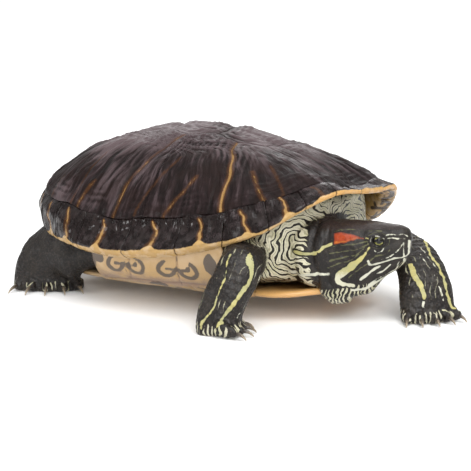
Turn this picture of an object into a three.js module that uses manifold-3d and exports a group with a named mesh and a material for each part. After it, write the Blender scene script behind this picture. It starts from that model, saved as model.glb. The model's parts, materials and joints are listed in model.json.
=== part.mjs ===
// Red-eared slider turtle, life size, standing with its left foreleg put forward and its head low.
// Millimetres, +Z up, head towards -Y, the animal's left side towards +X.
// The origin is on the floor under the middle of the model.
import * as THREE from 'three';
import Module from 'manifold-3d';
import { mergeVertices } from 'three/addons/utils/BufferGeometryUtils.js';

const wasm = await Module();
wasm.setup();

// ---------------------------------------------------------------- driving sizes
const SHELL = {
  front: 86,          // centre of the shell to the front edge
  rear: 104,          // centre of the shell to the rear edge
  halfWidth: 71.5,
  taper: 0.08,        // the plan widens towards the rear
  top: 81,            // crown above the underside of the plastron
  crownShift: 9,      // the crown lies behind the centre
  thick: 3.0,         // thickness of the horn and bone of the carapace
  gap: 0.3,           // joint between neighbouring plates
};
// Height of the free edge of the rim above the plastron, at angles from the front of the plan.
const RIM_AT = [0, 18, 36, 54, 75, 100, 135, 180];
const RIM_Z = [53, 53.5, 46.5, 35.4, 26.9, 20, 23, 25];
// The stance: nose up, right side up, and height of the plastron above the floor.
const PITCH = 1.5, ROLL = 5, LIFT = 7;
const CUT = 0.3;                  // gap between neighbouring pieces of flesh

// ---------------------------------------------------------------- looks
const look = (color, roughness = 0.6) =>
  new THREE.MeshStandardMaterial({ color, roughness, metalness: 0 });
const HORN = look('#3b312f', 0.4), BONE = look('#d9b56c', 0.5);
const SKIN = look('#33342a', 0.7), EYE = look('#4a5220', 0.1);

// ---------------------------------------------------------------- helpers
const V = (x, y, z) => new THREE.Vector3(x, y, z);
const rad = THREE.MathUtils.degToRad;
const clamp = (v, a = 0, b = 1) => Math.min(b, Math.max(a, v));
const spow = (v, p) => Math.sign(v) * Math.abs(v) ** p;
const smooth = (a, b, v) => { const t = clamp((v - a) / (b - a)); return t * t * (3 - 2 * t); };

// Value of a table at v, on a smooth curve through its entries.
function table(at, values, v) {
  const last = at.length - 1;
  const slope = (k) => {
    const a = Math.max(0, k - 1), b = Math.min(last, k + 1);
    return (values[b] - values[a]) / (at[b] - at[a]);
  };
  let i = 0;
  while (i < last - 1 && v > at[i + 1]) i++;
  const h = at[i + 1] - at[i], t = clamp((v - at[i]) / h), u = 1 - t;
  return values[i] * (1 + 2 * t) * u * u + values[i + 1] * t * t * (3 - 2 * t)
    + h * t * u * (slope(i) * u - slope(i + 1) * t);
}

// A closed skin over a row of rings that all have the same number of points.
function tube(rings) {
  const n = rings[0].length, pos = [], index = [];
  for (const ring of rings) for (const p of ring) pos.push(p.x, p.y, p.z);
  const middle = (ring) => ring.reduce((s, p) => s.add(p), V(0, 0, 0)).divideScalar(n);
  const first = middle(rings[0]), last = middle(rings.at(-1));
  const a = pos.length / 3;
  pos.push(first.x, first.y, first.z, last.x, last.y, last.z);
  for (let k = 0; k < rings.length - 1; k++) {
    for (let i = 0; i < n; i++) {
      const j = (i + 1) % n, p = k * n + i, q = k * n + j, r = q + n, s = p + n;
      index.push(p, q, r, p, r, s);
    }
  }
  for (let i = 0; i < n; i++) {
    const j = (i + 1) % n, e = (rings.length - 1) * n;
    index.push(a, j, i, a + 1, e + i, e + j);
  }
  const g = new THREE.BufferGeometry();
  g.setAttribute('position', new THREE.Float32BufferAttribute(pos, 3));
  g.setIndex(index);
  if (volume(g) < 0) {
    for (let i = 0; i < index.length; i += 3) [index[i], index[i + 1]] = [index[i + 1], index[i]];
    g.setIndex(index);
  }
  return g;
}

function volume(g) {
  const p = g.getAttribute('position'), ix = g.getIndex();
  const a = V(0, 0, 0), b = V(0, 0, 0), c = V(0, 0, 0);
  let v = 0;
  for (let i = 0; i < ix.count; i += 3) {
    a.fromBufferAttribute(p, ix.getX(i));
    b.fromBufferAttribute(p, ix.getX(i + 1));
    c.fromBufferAttribute(p, ix.getX(i + 2));
    v += a.dot(b.cross(c));
  }
  return v / 6;
}

function toSolid(source) {
  let g = source.clone();
  g.deleteAttribute('normal');
  g.deleteAttribute('uv');
  g = mergeVertices(g, 1e-4);
  const vertProperties = new Float32Array(g.getAttribute('position').array);
  const triVerts = new Uint32Array(g.getIndex().array);
  return new wasm.Manifold(new wasm.Mesh({ numProp: 3, vertProperties, triVerts }));
}

function fromSolid(solid) {
  const m = solid.getMesh(), g = new THREE.BufferGeometry();
  g.setAttribute('position', new THREE.Float32BufferAttribute(m.vertProperties, 3));
  g.setIndex(new THREE.Uint32BufferAttribute(m.triVerts, 1));
  g.computeVertexNormals();
  return g;
}

// The largest connected body of a solid.
function largest(solid) {
  return solid.decompose().sort((a, b) => b.volume() - a.volume())[0];
}

// A limb or body lofted along a smooth line. Each station is
// [x, y, z, half-width, half-height above, half-height below]; `up` says where its top faces.
function loft(stations, up, { rings = 12, sides = 16, power = 2.2, grow = 0 } = {}) {
  const line = new THREE.CatmullRomCurve3(stations.map((s) => V(s[0], s[1], s[2])), false, 'centripetal');
  const sizes = [3, 4, 5].map((k) => stations.map((s) => s[k] ?? s[4]));
  const out = [], last = stations.length - 1;
  for (let k = 0; k <= rings; k++) {
    const u = k / rings, at = u * last, i = Math.min(last - 1, Math.floor(at));
    const t = smooth(0, 1, at - i);
    const [w, top, under] = sizes.map((s) => s[i] + (s[i + 1] - s[i]) * (0.5 * (at - i) + 0.5 * t) + grow);
    const p = line.getPoint(u), dir = line.getTangent(u);
    const side = V(0, 0, 0).crossVectors(dir, up).normalize();
    const high = V(0, 0, 0).crossVectors(side, dir).normalize();
    const shift = k === 0 ? -grow : k === rings ? grow : 0;
    const ring = [];
    for (let j = 0; j < sides; j++) {
      const a = (2 * Math.PI * j) / sides, c = spow(Math.cos(a), 2 / power), s = spow(Math.sin(a), 2 / power);
      ring.push(p.clone().addScaledVector(side, w * c).addScaledVector(high, (s > 0 ? top : under) * s)
        .addScaledVector(dir, shift));
    }
    out.push(ring);
  }
  return tube(out);
}

// ---------------------------------------------------------------- the carapace
// Free edge of the rim at angle t from the front; positive angles run along the left side.
function rim(t) {
  const c = Math.cos(t), s = Math.sin(t);
  const n = 2.4 + 0.32 * clamp(c * 1.5) - 0.18 * clamp(-c * 1.5);
  const y = -(c > 0 ? SHELL.front : SHELL.rear) * spow(c, 2 / n);
  const x = SHELL.halfWidth * spow(s, 2 / n) * (1 - SHELL.taper * c);
  const deg = Math.abs(THREE.MathUtils.radToDeg(t));
  return V(x, y, table(RIM_AT, RIM_Z, deg));
}

// Seam between the domed plates and the rim plates.
function seam(t) {
  const p = rim(t), c = Math.cos(t), front = clamp(c), rear = clamp(-c);
  const k = 0.885 + 0.015 * front + 0.135 * rear;
  return V(p.x * k, p.y * k, p.z + 15 - 12.5 * front ** 3 + 5 * rear);
}

// Outer surface of the dome; r runs from 0 at the crown to 1 at the seam. `inset` is a depth below it.
function dome(t, r, inset = 0) {
  const s = seam(t), c = Math.cos(t), front = clamp(c), rear = clamp(-c);
  const power = 2.1 - 0.45 * front + 0.1 * rear, blunt = 0.6 + 0.34 * front - 0.08 * rear;
  const f = (v) => (1 - (0.955 * v) ** power) ** blunt;
  const rise = (f(r) - f(1)) / (1 - f(1));
  const keel = 1.6 * Math.exp(-((s.x * r) ** 2) / 30) * (1 - smooth(0.75, 1, r));
  const k = 1 - inset / 72;
  return V(s.x * r * k, s.y * r * k + SHELL.crownShift * (1 - r), s.z + (SHELL.top - s.z) * rise + keel - inset);
}

const AROUND = 44;
function domeSolid() {
  const angle = (i) => -Math.PI + (2 * Math.PI * i) / AROUND;
  const ringAt = (r, inset) => Array.from({ length: AROUND }, (_, i) => dome(angle(i), r, inset));
  const levels = [0.14, 0.34, 0.53, 0.7, 0.83, 0.93, 1];
  const under = [1, 0.75, 0.4, 0.12];
  return tube([...levels.map((r) => ringAt(r, 0)), ...under.map((r) => ringAt(r, SHELL.thick))]);
}

// Plan outlines of the domed plates, on the left side. Seam heights run along the midline.
const VERTEBRAL_Y = [-120, -33, -2, 30, 60, 130];
const HALF = [26, 16, 15.5, 14.5, 12.5, 34];           // half-width where two vertebrals meet
const WAIST = [[-62, 19], [-18, 21], [13, 21], [44, 19], [74, 17]];   // [y, x] of each one's side corner
const COSTAL_OUT = [[-92, 52], [-47, 90], [17, 95], [56, 92], [130, 40]]; // outer ends of the costal seams

function vertebralOutline(i) {
  const right = [[HALF[i], VERTEBRAL_Y[i]], [WAIST[i][1], WAIST[i][0]], [HALF[i + 1], VERTEBRAL_Y[i + 1]]];
  return [...right, ...right.map(([x, y]) => [-x, y]).reverse()];
}

function costalOutline(i) {
  const out = [[WAIST[i][1], WAIST[i][0]], [HALF[i + 1], VERTEBRAL_Y[i + 1]], [WAIST[i + 1][1], WAIST[i + 1][0]]];
  if (i === 0) out.unshift([HALF[0], VERTEBRAL_Y[0]]);
  if (i === 3) out.push([HALF[5], VERTEBRAL_Y[5]]);
  const from = COSTAL_OUT[i], to = COSTAL_OUT[i + 1];
  if (i === 0) return [...out, [95, to[0]], [95, -120]];
  if (i === 3) return [...out, [95, 130], [95, from[0]]];
  return [...out, [95, to[0]], [95, from[0]]];
}

// Moves every side of a plan outline inwards by d.
function shrink(points, d) {
  const n = points.length, area = points.reduce((s, p, i) => {
    const q = points[(i + 1) % n];
    return s + p[0] * q[1] - q[0] * p[1];
  }, 0);
  const sign = area > 0 ? 1 : -1;
  return points.map((p, i) => {
    const a = points[(i + n - 1) % n], b = points[(i + 1) % n];
    const u = new THREE.Vector2(p[0] - a[0], p[1] - a[1]).normalize();
    const v = new THREE.Vector2(b[0] - p[0], b[1] - p[1]).normalize();
    const m = new THREE.Vector2(-u.y - v.y, u.x + v.x).normalize().multiplyScalar(sign);
    const k = d / Math.max(0.3, Math.abs(m.x * -u.y * sign + m.y * u.x * sign));
    return [p[0] + m.x * k, p[1] + m.y * k];
  });
}

function prism(points) {
  const shape = new THREE.Shape(points.map(([x, y]) => new THREE.Vector2(x, y)));
  return toSolid(new THREE.ExtrudeGeometry(shape, { depth: 140, bevelEnabled: false }).translate(0, 0, -20));
}

// Angles of the seams between the rim plates: nuchal, then marginals 1 to 12, to the rear midline.
const RIM_SEAMS = [5, 19, 33, 47, 62, 79, 96, 112, 127, 140, 152, 165, 180].map(rad);

// One rim plate between two angles: upper face, rounded free edge, and the face turned in below.
function rimPlate(from, to, grow = 0) {
  const steps = 3, rings = [];
  const g = (SHELL.gap / 2 - grow) / 74;
  for (let k = 0; k <= steps; k++) {
    const t = from + g + ((to - from - 2 * g) * k) / steps;
    const e = rim(t), s = seam(t), front = clamp(Math.cos(t)), side = Math.sin(t) ** 2;
    const far = Math.hypot(e.x, e.y), kin = Math.hypot(s.x, s.y) / far;
    const profile = [
      [kin, s.z - 0.35],
      [kin + (1 - kin) * 0.45, s.z - (s.z - e.z) * (0.34 - 0.06 * front)],
      [0.994, e.z + 1.6],
      [0.998, e.z - 0.2],
      [0.975, e.z - 1.1 - 1.2 * side],
      [0.9, e.z - 0.4 - 2.6 * side],
      [Math.min(kin, 0.93) - 0.02, Math.min(e.z + 2.5 - 3 * side, s.z - 3)],
      [kin - 0.035, s.z - 3.4 - 0.8 * side],
    ].map(([scale, z]) => [scale * far, z]);
    rings.push(shrink(profile, -grow * 1.4).map(([out, z]) => V((e.x * out) / far, (e.y * out) / far, z)));
  }
  return tube(rings);
}

// ---------------------------------------------------------------- the plastron
const BRIDGE = { from: -38, to: 42, blend: 7, inner: 43 };
function plastronHalf(y) {
  const lobe = y < 0
    ? 43 * (1 - clamp((-y - 34) / 50) ** 1.9 * 0.42) : 45 * (1 - clamp((y - 40) / 52) ** 2.2 * 0.5);
  const onBridge = smooth(BRIDGE.from - BRIDGE.blend, BRIDGE.from + 2, y)
    * (1 - smooth(BRIDGE.to - 2, BRIDGE.to + BRIDGE.blend, y));
  return lobe + (63.5 - lobe) * onBridge;
}
function plastronZ(x, y) {
  const out = clamp((Math.abs(x) - BRIDGE.inner) / 20);
  const edge = rimUnder(y);
  return edge * out ** 1.25 + 1.5 * smooth(60, 95, y) + 3.5 * smooth(50, 84, -y);
}
// Height of the underside of the rim plates over the bridge.
function rimUnder(y) {
  const c = clamp(-y / SHELL.front, -1, 1);
  return table(RIM_AT, RIM_Z, THREE.MathUtils.radToDeg(Math.acos(c))) - 7.3;
}
function plastronSolid(grow = 0) {
  const ys = [-82, -80, -75, -66, -55, -46, -41, -36, -18, 6, 30, 40, 45, 50, 62, 76, 84, 88];
  const across = [-1, -0.9, -0.78, -0.64, 0, 0.64, 0.78, 0.9, 1];
  const end = (y) => (y < -81 ? 0.8 : y > 86 ? 0.8 : 1);
  return tube(ys.map((y) => {
    const w = plastronHalf(y) * end(y) + grow;
    const under = across.map((u) => V(w * u, y, plastronZ(w * u, y) + 0.5 * u ** 8 - grow));
    const over = across.map((u) => V(w * u, y, plastronZ(w * u, y) + 3.6 - 0.5 * u ** 8 + grow)).reverse();
    return [...under, ...over];
  }));
}

// ---------------------------------------------------------------- the trunk, inside the shell
const BODY = 32;
function trunkSolid(grow = 0) {
  const angle = (i) => -Math.PI + (2 * Math.PI * i) / BODY;
  const wall = (t, k, z) => { const p = rim(t); return V(p.x * k, p.y * k, z); };
  const g = grow / 72;
  const rings = [];
  for (const r of [0.12, 0.45, 0.72, 0.87]) {
    rings.push(Array.from({ length: BODY }, (_, i) => dome(angle(i), r, SHELL.thick + 3.4 - grow)));
  }
  // The underside follows the plastron up to the bridges; `lift` is how far out it lies.
  const side = (t, k, lift) => {
    const under = 5 - grow + lift * (5 + Math.sin(t) ** 6 * 9);
    return wall(t, (k + g) * (1 - 0.02 * clamp(Math.cos(t))), under);
  };
  rings.push(Array.from({ length: BODY }, (_, i) => {
    const t = angle(i), s = seam(t);
    return wall(t, 0.81 + g, s.z - 7.5 + grow);
  }));
  rings.push(Array.from({ length: BODY }, (_, i) => {
    const t = angle(i), s = seam(t);
    return wall(t, 0.82 + g, s.z * 0.55 + 2);
  }));
  rings.push(Array.from({ length: BODY }, (_, i) => side(angle(i), 0.74, 0.8)));
  rings.push(Array.from({ length: BODY }, (_, i) => side(angle(i), 0.6, 0.12)));
  rings.push(Array.from({ length: BODY }, (_, i) => side(angle(i), 0.2, 0)));
  return tube(rings);
}

// ---------------------------------------------------------------- placing the shell
const shell = new THREE.Group();
shell.position.set(0, 0, LIFT);
shell.rotation.set(-rad(PITCH), rad(ROLL), 0);
shell.updateMatrix();
const inWorld = (g) => g.clone().applyMatrix4(shell.matrix);

const root = new THREE.Group();
root.add(shell);
function add(parent, name, geometry, material) {
  if (!geometry.getAttribute('normal')) geometry.computeVertexNormals();
  const mesh = new THREE.Mesh(geometry, material);
  mesh.name = name;
  parent.add(mesh);
}

const domeBody = toSolid(domeSolid());
for (let i = 0; i < 5; i++) {
  const plate = domeBody.intersect(prism(shrink(vertebralOutline(i), SHELL.gap / 2)));
  add(shell, `vertebral_${i + 1}`, fromSolid(largest(plate)), HORN);
}
for (const [side, sx] of [['left', 1], ['right', -1]]) {
  for (let i = 0; i < 4; i++) {
    const outline = shrink(costalOutline(i), SHELL.gap / 2).map(([x, y]) => [x * sx, y]);
    add(shell, `costal_${side}_${i + 1}`, fromSolid(largest(domeBody.intersect(prism(outline)))), HORN);
  }
}
add(shell, 'nuchal', rimPlate(-RIM_SEAMS[0], RIM_SEAMS[0]), HORN);
for (let i = 0; i < 12; i++) {
  add(shell, `marginal_left_${i + 1}`, rimPlate(RIM_SEAMS[i], RIM_SEAMS[i + 1]), HORN);
  add(shell, `marginal_right_${i + 1}`, rimPlate(-RIM_SEAMS[i + 1], -RIM_SEAMS[i]), HORN);
}
add(shell, 'plastron', plastronSolid(), BONE);
add(shell, 'trunk', trunkSolid(), SKIN);

// ---------------------------------------------------------------- the flesh
// Everything below is set out in the working frame, on the floor.
const HEAD_AT = V(-4.8, -111.5, 41);          // tip of the snout
const HEAD_DIR = V(0.342, -0.94, 0.02).normalize();
const HEAD_LONG = 41;

// A point of the head: `back` from the snout, `side` to the animal's left, `high` above the axis.
const headSide = V(0, 0, 0).crossVectors(V(0, 0, 1), HEAD_DIR).normalize();
const headUp = V(0, 0, 0).crossVectors(HEAD_DIR, headSide).normalize();
const onHead = (back, side, high) => HEAD_AT.clone().addScaledVector(HEAD_DIR, -back)
  .addScaledVector(headSide, side).addScaledVector(headUp, high);

// Stations of the head from the snout back: [back, half-width, above, below, drop of the middle].
const HEAD = [
  [0.2, 2.6, 2.6, 5.4, 0.6], [2.0, 4.9, 5.4, 10.2, 0.4], [6.0, 6.8, 7.2, 14.0, 0],
  [11.0, 8.4, 8.2, 16.6, -0.2], [16.5, 10.6, 9.4, 18.6, -0.4], [23.0, 12.6, 9.6, 20.8, -0.4],
  [30.0, 13.6, 9.6, 22.6, -0.6], [36.0, 13.4, 9.4, 22.6, -0.8], [41.0, 12.4, 9.0, 21.0, -1.2],
];
function headSolid(grow = 0) {
  const stations = HEAD.map(([b, w, above, below, drop]) => {
    const p = onHead(b, 0, -drop);
    return [p.x, p.y, p.z, w, above, below];
  });
  return loft(stations, headUp, { rings: 11, sides: 14, power: 2.25, grow });
}

const UP = V(0, 0, 1);
const NECK = [
  [-14, -84, 33, 12.2, 13.5, 17.0], [-17, -76, 33.5, 14.8, 15.6, 19.0], [-18, -68, 34.5, 17.4, 17.0, 18.0],
  [-15, -58, 36.5, 18.5, 17.0, 18.0], [-8, -42, 40, 17, 15, 16],
];
const ARM_RIGHT = [
  [-36, -36, 33, 11, 10], [-49, -44, 34, 11.5, 9.5], [-60, -48.5, 32, 11, 8], [-66, -48, 24, 10.8, 7],
  [-70, -45, 14, 11, 6.8], [-71.5, -43.5, 6, 11.2, 7],
  [-71.5, -43.5, -2, 11.2, 7],
];
const ARM_LEFT = [
  [37, -44, 27, 11, 10], [37, -64, 29, 11.5, 9.5], [30.5, -84, 29.5, 11, 8.6], [20, -101, 26, 12, 7.6],
  [12, -110, 18.5, 13.2, 6.8], [7.8, -113.6, 11, 13.8, 6.8], [6.4, -114.8, 5, 13.6, 7], [6.4, -114.8, -2, 13.6, 7],
];
const THIGH_RIGHT = [
  [-32, 48, 24, 12, 11], [-37, 60, 26, 13.5, 11.5], [-42, 72, 24, 16.5, 11], [-44.5, 81, 16.5, 18.5, 9],
  [-45.5, 84.5, 8, 18.5, 8], [-45.5, 84.5, -2, 18.5, 8],
];
const THIGH_LEFT = [
  [36, 50, 22, 12, 11], [44, 62, 23, 13, 11], [51, 73, 20, 13.5, 9.5], [55.5, 82, 12.5, 15, 8.6],
  [57, 86, 6, 15, 8], [57, 86, -2, 15, 8],
];
const TAIL = [
  [1, 74, 17, 10, 9], [0.5, 88, 15.5, 8, 7.5], [-1, 98, 12.5, 5.6, 5.6], [-4, 107, 9, 3.6, 3.6],
  [-8, 115, 6.5, 1.4, 1.4],
];

// The toes of a foot, fanned out on the floor from under the wrist, each with a claw.
function toes({ palm, heading, spread, count, reach, wide, claw }) {
  let solid;
  for (let i = 0; i < count; i++) {
    const k = i / (count - 1) - 0.5, a = heading + k * spread;
    const long = reach * (1 - 0.9 * k * k), across = -k * wide * 1.55;
    const from = V(palm.x + Math.sin(heading) * across, palm.y - Math.cos(heading) * across, 0);
    const at = (d, z) => [from.x + Math.cos(a) * d, from.y + Math.sin(a) * d, z];
    const toe = toSolid(loft([
      [...at(0, 5.4), 3.0, 3.4], [...at(long * 0.5, 4.4), 2.7, 3.0], [...at(long, 2.4), 2.2, 2.4],
    ], UP, { rings: 3, sides: 6, power: 2 }));
    const nail = toSolid(loft([
      [...at(long - 2, 2.9), 1.3, 1.4], [...at(long + claw * 0.5, 2.6), 1.0, 1.1],
      [...at(long + claw, 0.9), 0.35, 0.35],
    ], UP, { rings: 2, sides: 5, power: 2 }));
    solid = solid ? solid.add(toe).add(nail) : toe.add(nail);
  }
  return solid;
}
const FEET = {
  forefoot_right: { palm: V(-72, -43.5, 9), heading: rad(-57), spread: rad(56), count: 5, reach: 13.5,
    wide: 10, claw: 5 },
  forefoot_left: { palm: V(6.2, -115, 9), heading: rad(-128), spread: rad(56), count: 5, reach: 10.5,
    wide: 13, claw: 5 },
  hindfoot_right: { palm: V(-45.5, 84.5, 9), heading: rad(213), spread: rad(56), count: 5, reach: 12.5,
    wide: 16, claw: 4.5 },
  hindfoot_left: { palm: V(57, 86, 9), heading: rad(25), spread: rad(64), count: 5, reach: 12.5,
    wide: 14, claw: 4.5 },
};

// The floor cut: everything below z = 0 is taken off, which leaves a flat sole.
const below = toSolid(new THREE.BoxGeometry(400, 400, 40).translate(0, 0, -20));
const world = (g) => toSolid(inWorld(g));
const EYES = { left: onHead(15, 8.4, 2.2), right: onHead(15, -8.4, 2.2) };
const EYE_RADIUS = 3.5;
const ball = (at, r) => new THREE.SphereGeometry(r, 12, 8).translate(at.x, at.y, at.z);

// What the flesh is cut back from: the trunk, the rim and the plastron, each a little fat.
const trunkOut = world(trunkSolid(CUT));
let frameCut = trunkOut.add(world(plastronSolid(CUT)));
const rimAngles = [...RIM_SEAMS.slice().reverse().map((a) => -a), ...RIM_SEAMS];
for (let i = 0; i < rimAngles.length - 1; i++) {
  frameCut = frameCut.add(world(rimPlate(rimAngles[i], rimAngles[i + 1], CUT)));
}
const limb = (stations, up, grow = 0) => toSolid(loft(stations, up, { rings: 9, sides: 10, grow }));

const block = (top) => toSolid(new THREE.BoxGeometry(400, 400, 60).translate(0, 0, top - 30));

const pieces = {};
const neckOut = limb(NECK, UP, CUT);
pieces.neck = limb(NECK, UP).subtract(frameCut);
pieces.head = toSolid(headSolid()).subtract(neckOut).subtract(frameCut);
for (const [side, at] of Object.entries(EYES)) {
  pieces.head = pieces.head.subtract(toSolid(ball(at, EYE_RADIUS + CUT)));
  add(root, `eye_${side}`, ball(at, EYE_RADIUS), EYE);
}
const LEGS = {
  foreleg_right: [ARM_RIGHT, V(-0.8, -0.5, 0.6), 'forefoot_right'],
  foreleg_left: [ARM_LEFT, V(-0.5, -0.6, 0.7), 'forefoot_left'],
  hindleg_right: [THIGH_RIGHT, V(-0.8, -0.5, 0.6), 'hindfoot_right'],
  hindleg_left: [THIGH_LEFT, V(0.8, 0.3, 0.6), 'hindfoot_left'],
};
for (const [name, [stations, up, footName]] of Object.entries(LEGS)) {
  const wrist = FEET[footName].palm.z, whole = limb(stations, up);
  pieces[name] = whole.subtract(frameCut).subtract(neckOut).subtract(block(wrist));
  pieces[footName] = whole.add(toes(FEET[footName])).intersect(block(wrist - CUT)).subtract(below);
}
pieces.tail = limb(TAIL, UP).subtract(frameCut);
for (const [name, solid] of Object.entries(pieces)) add(root, name, fromSolid(largest(solid)), SKIN);

// The origin goes to the floor under the middle of the whole model.
root.updateMatrixWorld(true);
const middle = new THREE.Box3().setFromObject(root, true).getCenter(V(0, 0, 0));
root.position.set(-middle.x, -middle.y, 0);
root.updateMatrixWorld(true);
export default root;
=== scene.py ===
import json
import math
from itertools import product

import bpy
import numpy as np
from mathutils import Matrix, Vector
from mathutils.geometry import delaunay_2d_cdt


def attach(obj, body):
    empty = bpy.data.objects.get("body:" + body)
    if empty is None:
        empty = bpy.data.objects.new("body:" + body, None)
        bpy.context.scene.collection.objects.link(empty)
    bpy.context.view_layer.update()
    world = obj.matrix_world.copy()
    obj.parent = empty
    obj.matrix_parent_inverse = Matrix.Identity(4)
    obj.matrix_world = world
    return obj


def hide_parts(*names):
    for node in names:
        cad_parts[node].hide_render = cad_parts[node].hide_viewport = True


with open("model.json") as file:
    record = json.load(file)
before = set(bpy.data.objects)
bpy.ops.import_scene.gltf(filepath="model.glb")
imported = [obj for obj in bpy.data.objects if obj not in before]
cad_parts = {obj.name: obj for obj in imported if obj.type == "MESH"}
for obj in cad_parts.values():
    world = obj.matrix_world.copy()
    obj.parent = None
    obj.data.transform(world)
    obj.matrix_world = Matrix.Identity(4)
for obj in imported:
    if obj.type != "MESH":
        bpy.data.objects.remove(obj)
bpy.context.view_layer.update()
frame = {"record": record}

bl_info = {
    "name": "Red-eared slider",
    "version": (1, 0, 0),
    "blender": (4, 5, 0),
    "location": "View3D > Sidebar > Slider",
    "description": "Builds a life-size red-eared slider turtle around its packed solids",
    "category": "Add Mesh",
}

MM = 0.001

# ------------------------------------------------------------------ where things are
# The shell and the flesh are set out in millimetres in a working frame: head towards -Y, the
# animal's left towards +X, floor at z = 0. The first sole mount ties that frame to the model's.
SOLE_AT = (-71.5, -43.5)
_sole = next(m for m in frame["record"]["mounts"] if m["name"] == "sole_forefoot_right")["pos_m"]
SHIFT = np.array([_sole[0] / MM - SOLE_AT[0], _sole[1] / MM - SOLE_AT[1], 0.0])

FRONT, REAR, HALF_WIDTH, TAPER = 86.0, 104.0, 71.5, 0.08  # plan of the rim
TOP, CROWN_Y = 81.0, 9.0  # height and place of the crown
DOME_END = 0.955  # share of the dome's own curve used
RIM_AT = [0, 18, 36, 54, 75, 100, 135, 180]  # degrees from the front
RIM_Z = [53, 53.5, 46.5, 35.4, 26.9, 20, 23, 25]  # height of the free edge there
PITCH, ROLL, LIFT = math.radians(1.5), math.radians(5), 7.0  # how the shell is carried
# Joints between the rim plates, in degrees from the front.
RIM_SEAMS = [5, 19.5, 35, 51, 68, 83, 96.5, 114, 128, 141, 153.5, 165.5, 180]

# Plates of the middle row: where they meet, their half-width there, and the left point of each side.
VERTEBRAL_Y = [-120, -33, -2, 30, 60, 130]
HALF = [26, 16, 15.5, 14.5, 12.5, 34]
WAIST = [(19, -62), (21, -18), (21, 13), (19, 44), (17, 74)]
# Where the joints between the side plates head for, past the rim.
COSTAL_TO = [(52, -92), (95, -50), (95, 36), (95, 68), (40, 130)]
HORN_THICK, BELLY_THICK = 2.2, 3.6  # of the plates of back and belly
UNDER_SHELL = 6.4  # depth of the flesh below the dome

HEAD_AT = np.array([-4.8, -111.5, 41.0])
HEAD_DIR = np.array([0.342, -0.94, 0.02]) / np.linalg.norm([0.342, -0.94, 0.02])
HEAD_SIDE = np.cross([0, 0, 1], HEAD_DIR) / np.linalg.norm(np.cross([0, 0, 1], HEAD_DIR))
HEAD_UP = np.cross(HEAD_DIR, HEAD_SIDE)
EYE_BACK, EYE_OUT, EYE_HIGH, EYE_RADIUS = 15.0, 7.9, 2.2, 3.4
LID_LONG, LID_HIGH = 2.75, 1.85  # half-sizes of the opening of the lids

# Stations of the head: [back from the snout, half-width, half-height above, below, drop].
HEAD = [
    [0.2, 2.8, 4.4, 5.4, 0.6], [2, 4.9, 7.4, 10.2, 0.4], [6, 6.8, 8.5, 14, 0],
    [11, 8.4, 8.9, 16.6, -0.2], [16.5, 10.6, 9.4, 18.6, -0.4], [23, 12.6, 9.6, 20.8, -0.4],
    [30, 13.6, 9.6, 22.6, -0.6], [36, 13.4, 9.4, 22.6, -0.8], [41, 12.4, 9, 21, -1.2],
]
# Stations of the other flesh: [x, y, z, half-width, half-height above, half-height below].
NECK = [
    [-14, -84, 33, 12.2, 13.5, 17.0], [-17, -76, 33.5, 14.8, 15.6, 19.0],
    [-18, -68, 34.5, 17.4, 17.0, 18.0], [-15, -58, 36.5, 18.5, 17.0, 18.0], [-8, -42, 40, 17, 15, 16],
]
ARM_RIGHT = [
    [-36, -36, 33, 11, 10], [-49, -44, 34, 11.5, 9.5], [-60, -48.5, 32, 11, 8], [-66, -48, 24, 10.8, 7],
    [-70, -45, 14, 11, 6.8], [-71.5, -43.5, 6, 11.2, 7], [-71.5, -43.5, 0, 11.2, 7],
]
ARM_LEFT = [
    [37, -44, 27, 11, 10], [37, -64, 29, 11.5, 9.5], [30.5, -84, 29.5, 11, 8.6], [20, -101, 26, 12, 7.6],
    [12, -110, 18.5, 13.2, 6.8], [7.8, -113.6, 11, 13.8, 6.8], [6.4, -114.8, 5, 13.6, 7],
    [6.4, -114.8, 0, 13.6, 7],
]
THIGH_RIGHT = [
    [-32, 48, 24, 12, 11], [-37, 60, 26, 13.5, 11.5], [-42, 72, 24, 16.5, 11], [-44.5, 81, 16.5, 18.5, 9],
    [-45.5, 84.5, 8, 18.5, 8], [-45.5, 84.5, 0, 18.5, 8],
]
THIGH_LEFT = [
    [36, 50, 22, 12, 11], [44, 62, 23, 13, 11], [51, 73, 20, 13.5, 9.5], [55.5, 82, 12.5, 15, 8.6],
    [57, 86, 6, 15, 8], [57, 86, 0, 15, 8],
]
TAIL = [
    [1, 74, 17, 10, 9], [0.5, 88, 15.5, 8, 7.5], [-1, 98, 12.5, 5.6, 5.6], [-4, 107, 9, 3.6, 3.6],
    [-8, 115, 6.5, 1.4, 1.4],
]
# Feet: wrist, heading and spread of the toes in degrees, their reach, width of the palm, claw length.
FEET = {
    "forefoot_right": dict(palm=(-72, -43.5), heading=-57, spread=56, reach=13.5, wide=10, claw=5),
    "forefoot_left": dict(palm=(6.2, -115), heading=-128, spread=56, reach=10.5, wide=13, claw=5),
    "hindfoot_right": dict(palm=(-45.5, 84.5), heading=213, spread=56, reach=11.5, wide=16, claw=7),
    "hindfoot_left": dict(palm=(57, 86), heading=25, spread=64, reach=11.5, wide=14, claw=7),
}
TOES = 5
WEB_LOW, WEB_IN = 0.35, 0.86  # underside of the web, and how far it draws in between toes
FLESH = ["trunk", "neck", "head", "tail", "foreleg_right", "forefoot_right", "foreleg_left",
         "forefoot_left", "hindleg_right", "hindfoot_right", "hindleg_left", "hindfoot_left"]


# ------------------------------------------------------------------ arithmetic
def clamp(v, low=0.0, high=1.0):
    """Holds values between two others."""
    return np.minimum(high, np.maximum(low, v))


def smooth(a, b, v):
    """0 at a, 1 at b, and eased between them; a may be above b."""
    t = clamp((v - a) / (b - a))
    return t * t * (3 - 2 * t)


def bump(v, width):
    """A soft hump: 1 at v = 0, near 0 past twice the width."""
    return np.exp(-(v / width) ** 2)


def spow(v, p):
    """A power that keeps the sign."""
    return np.sign(v) * np.abs(v) ** p


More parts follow.
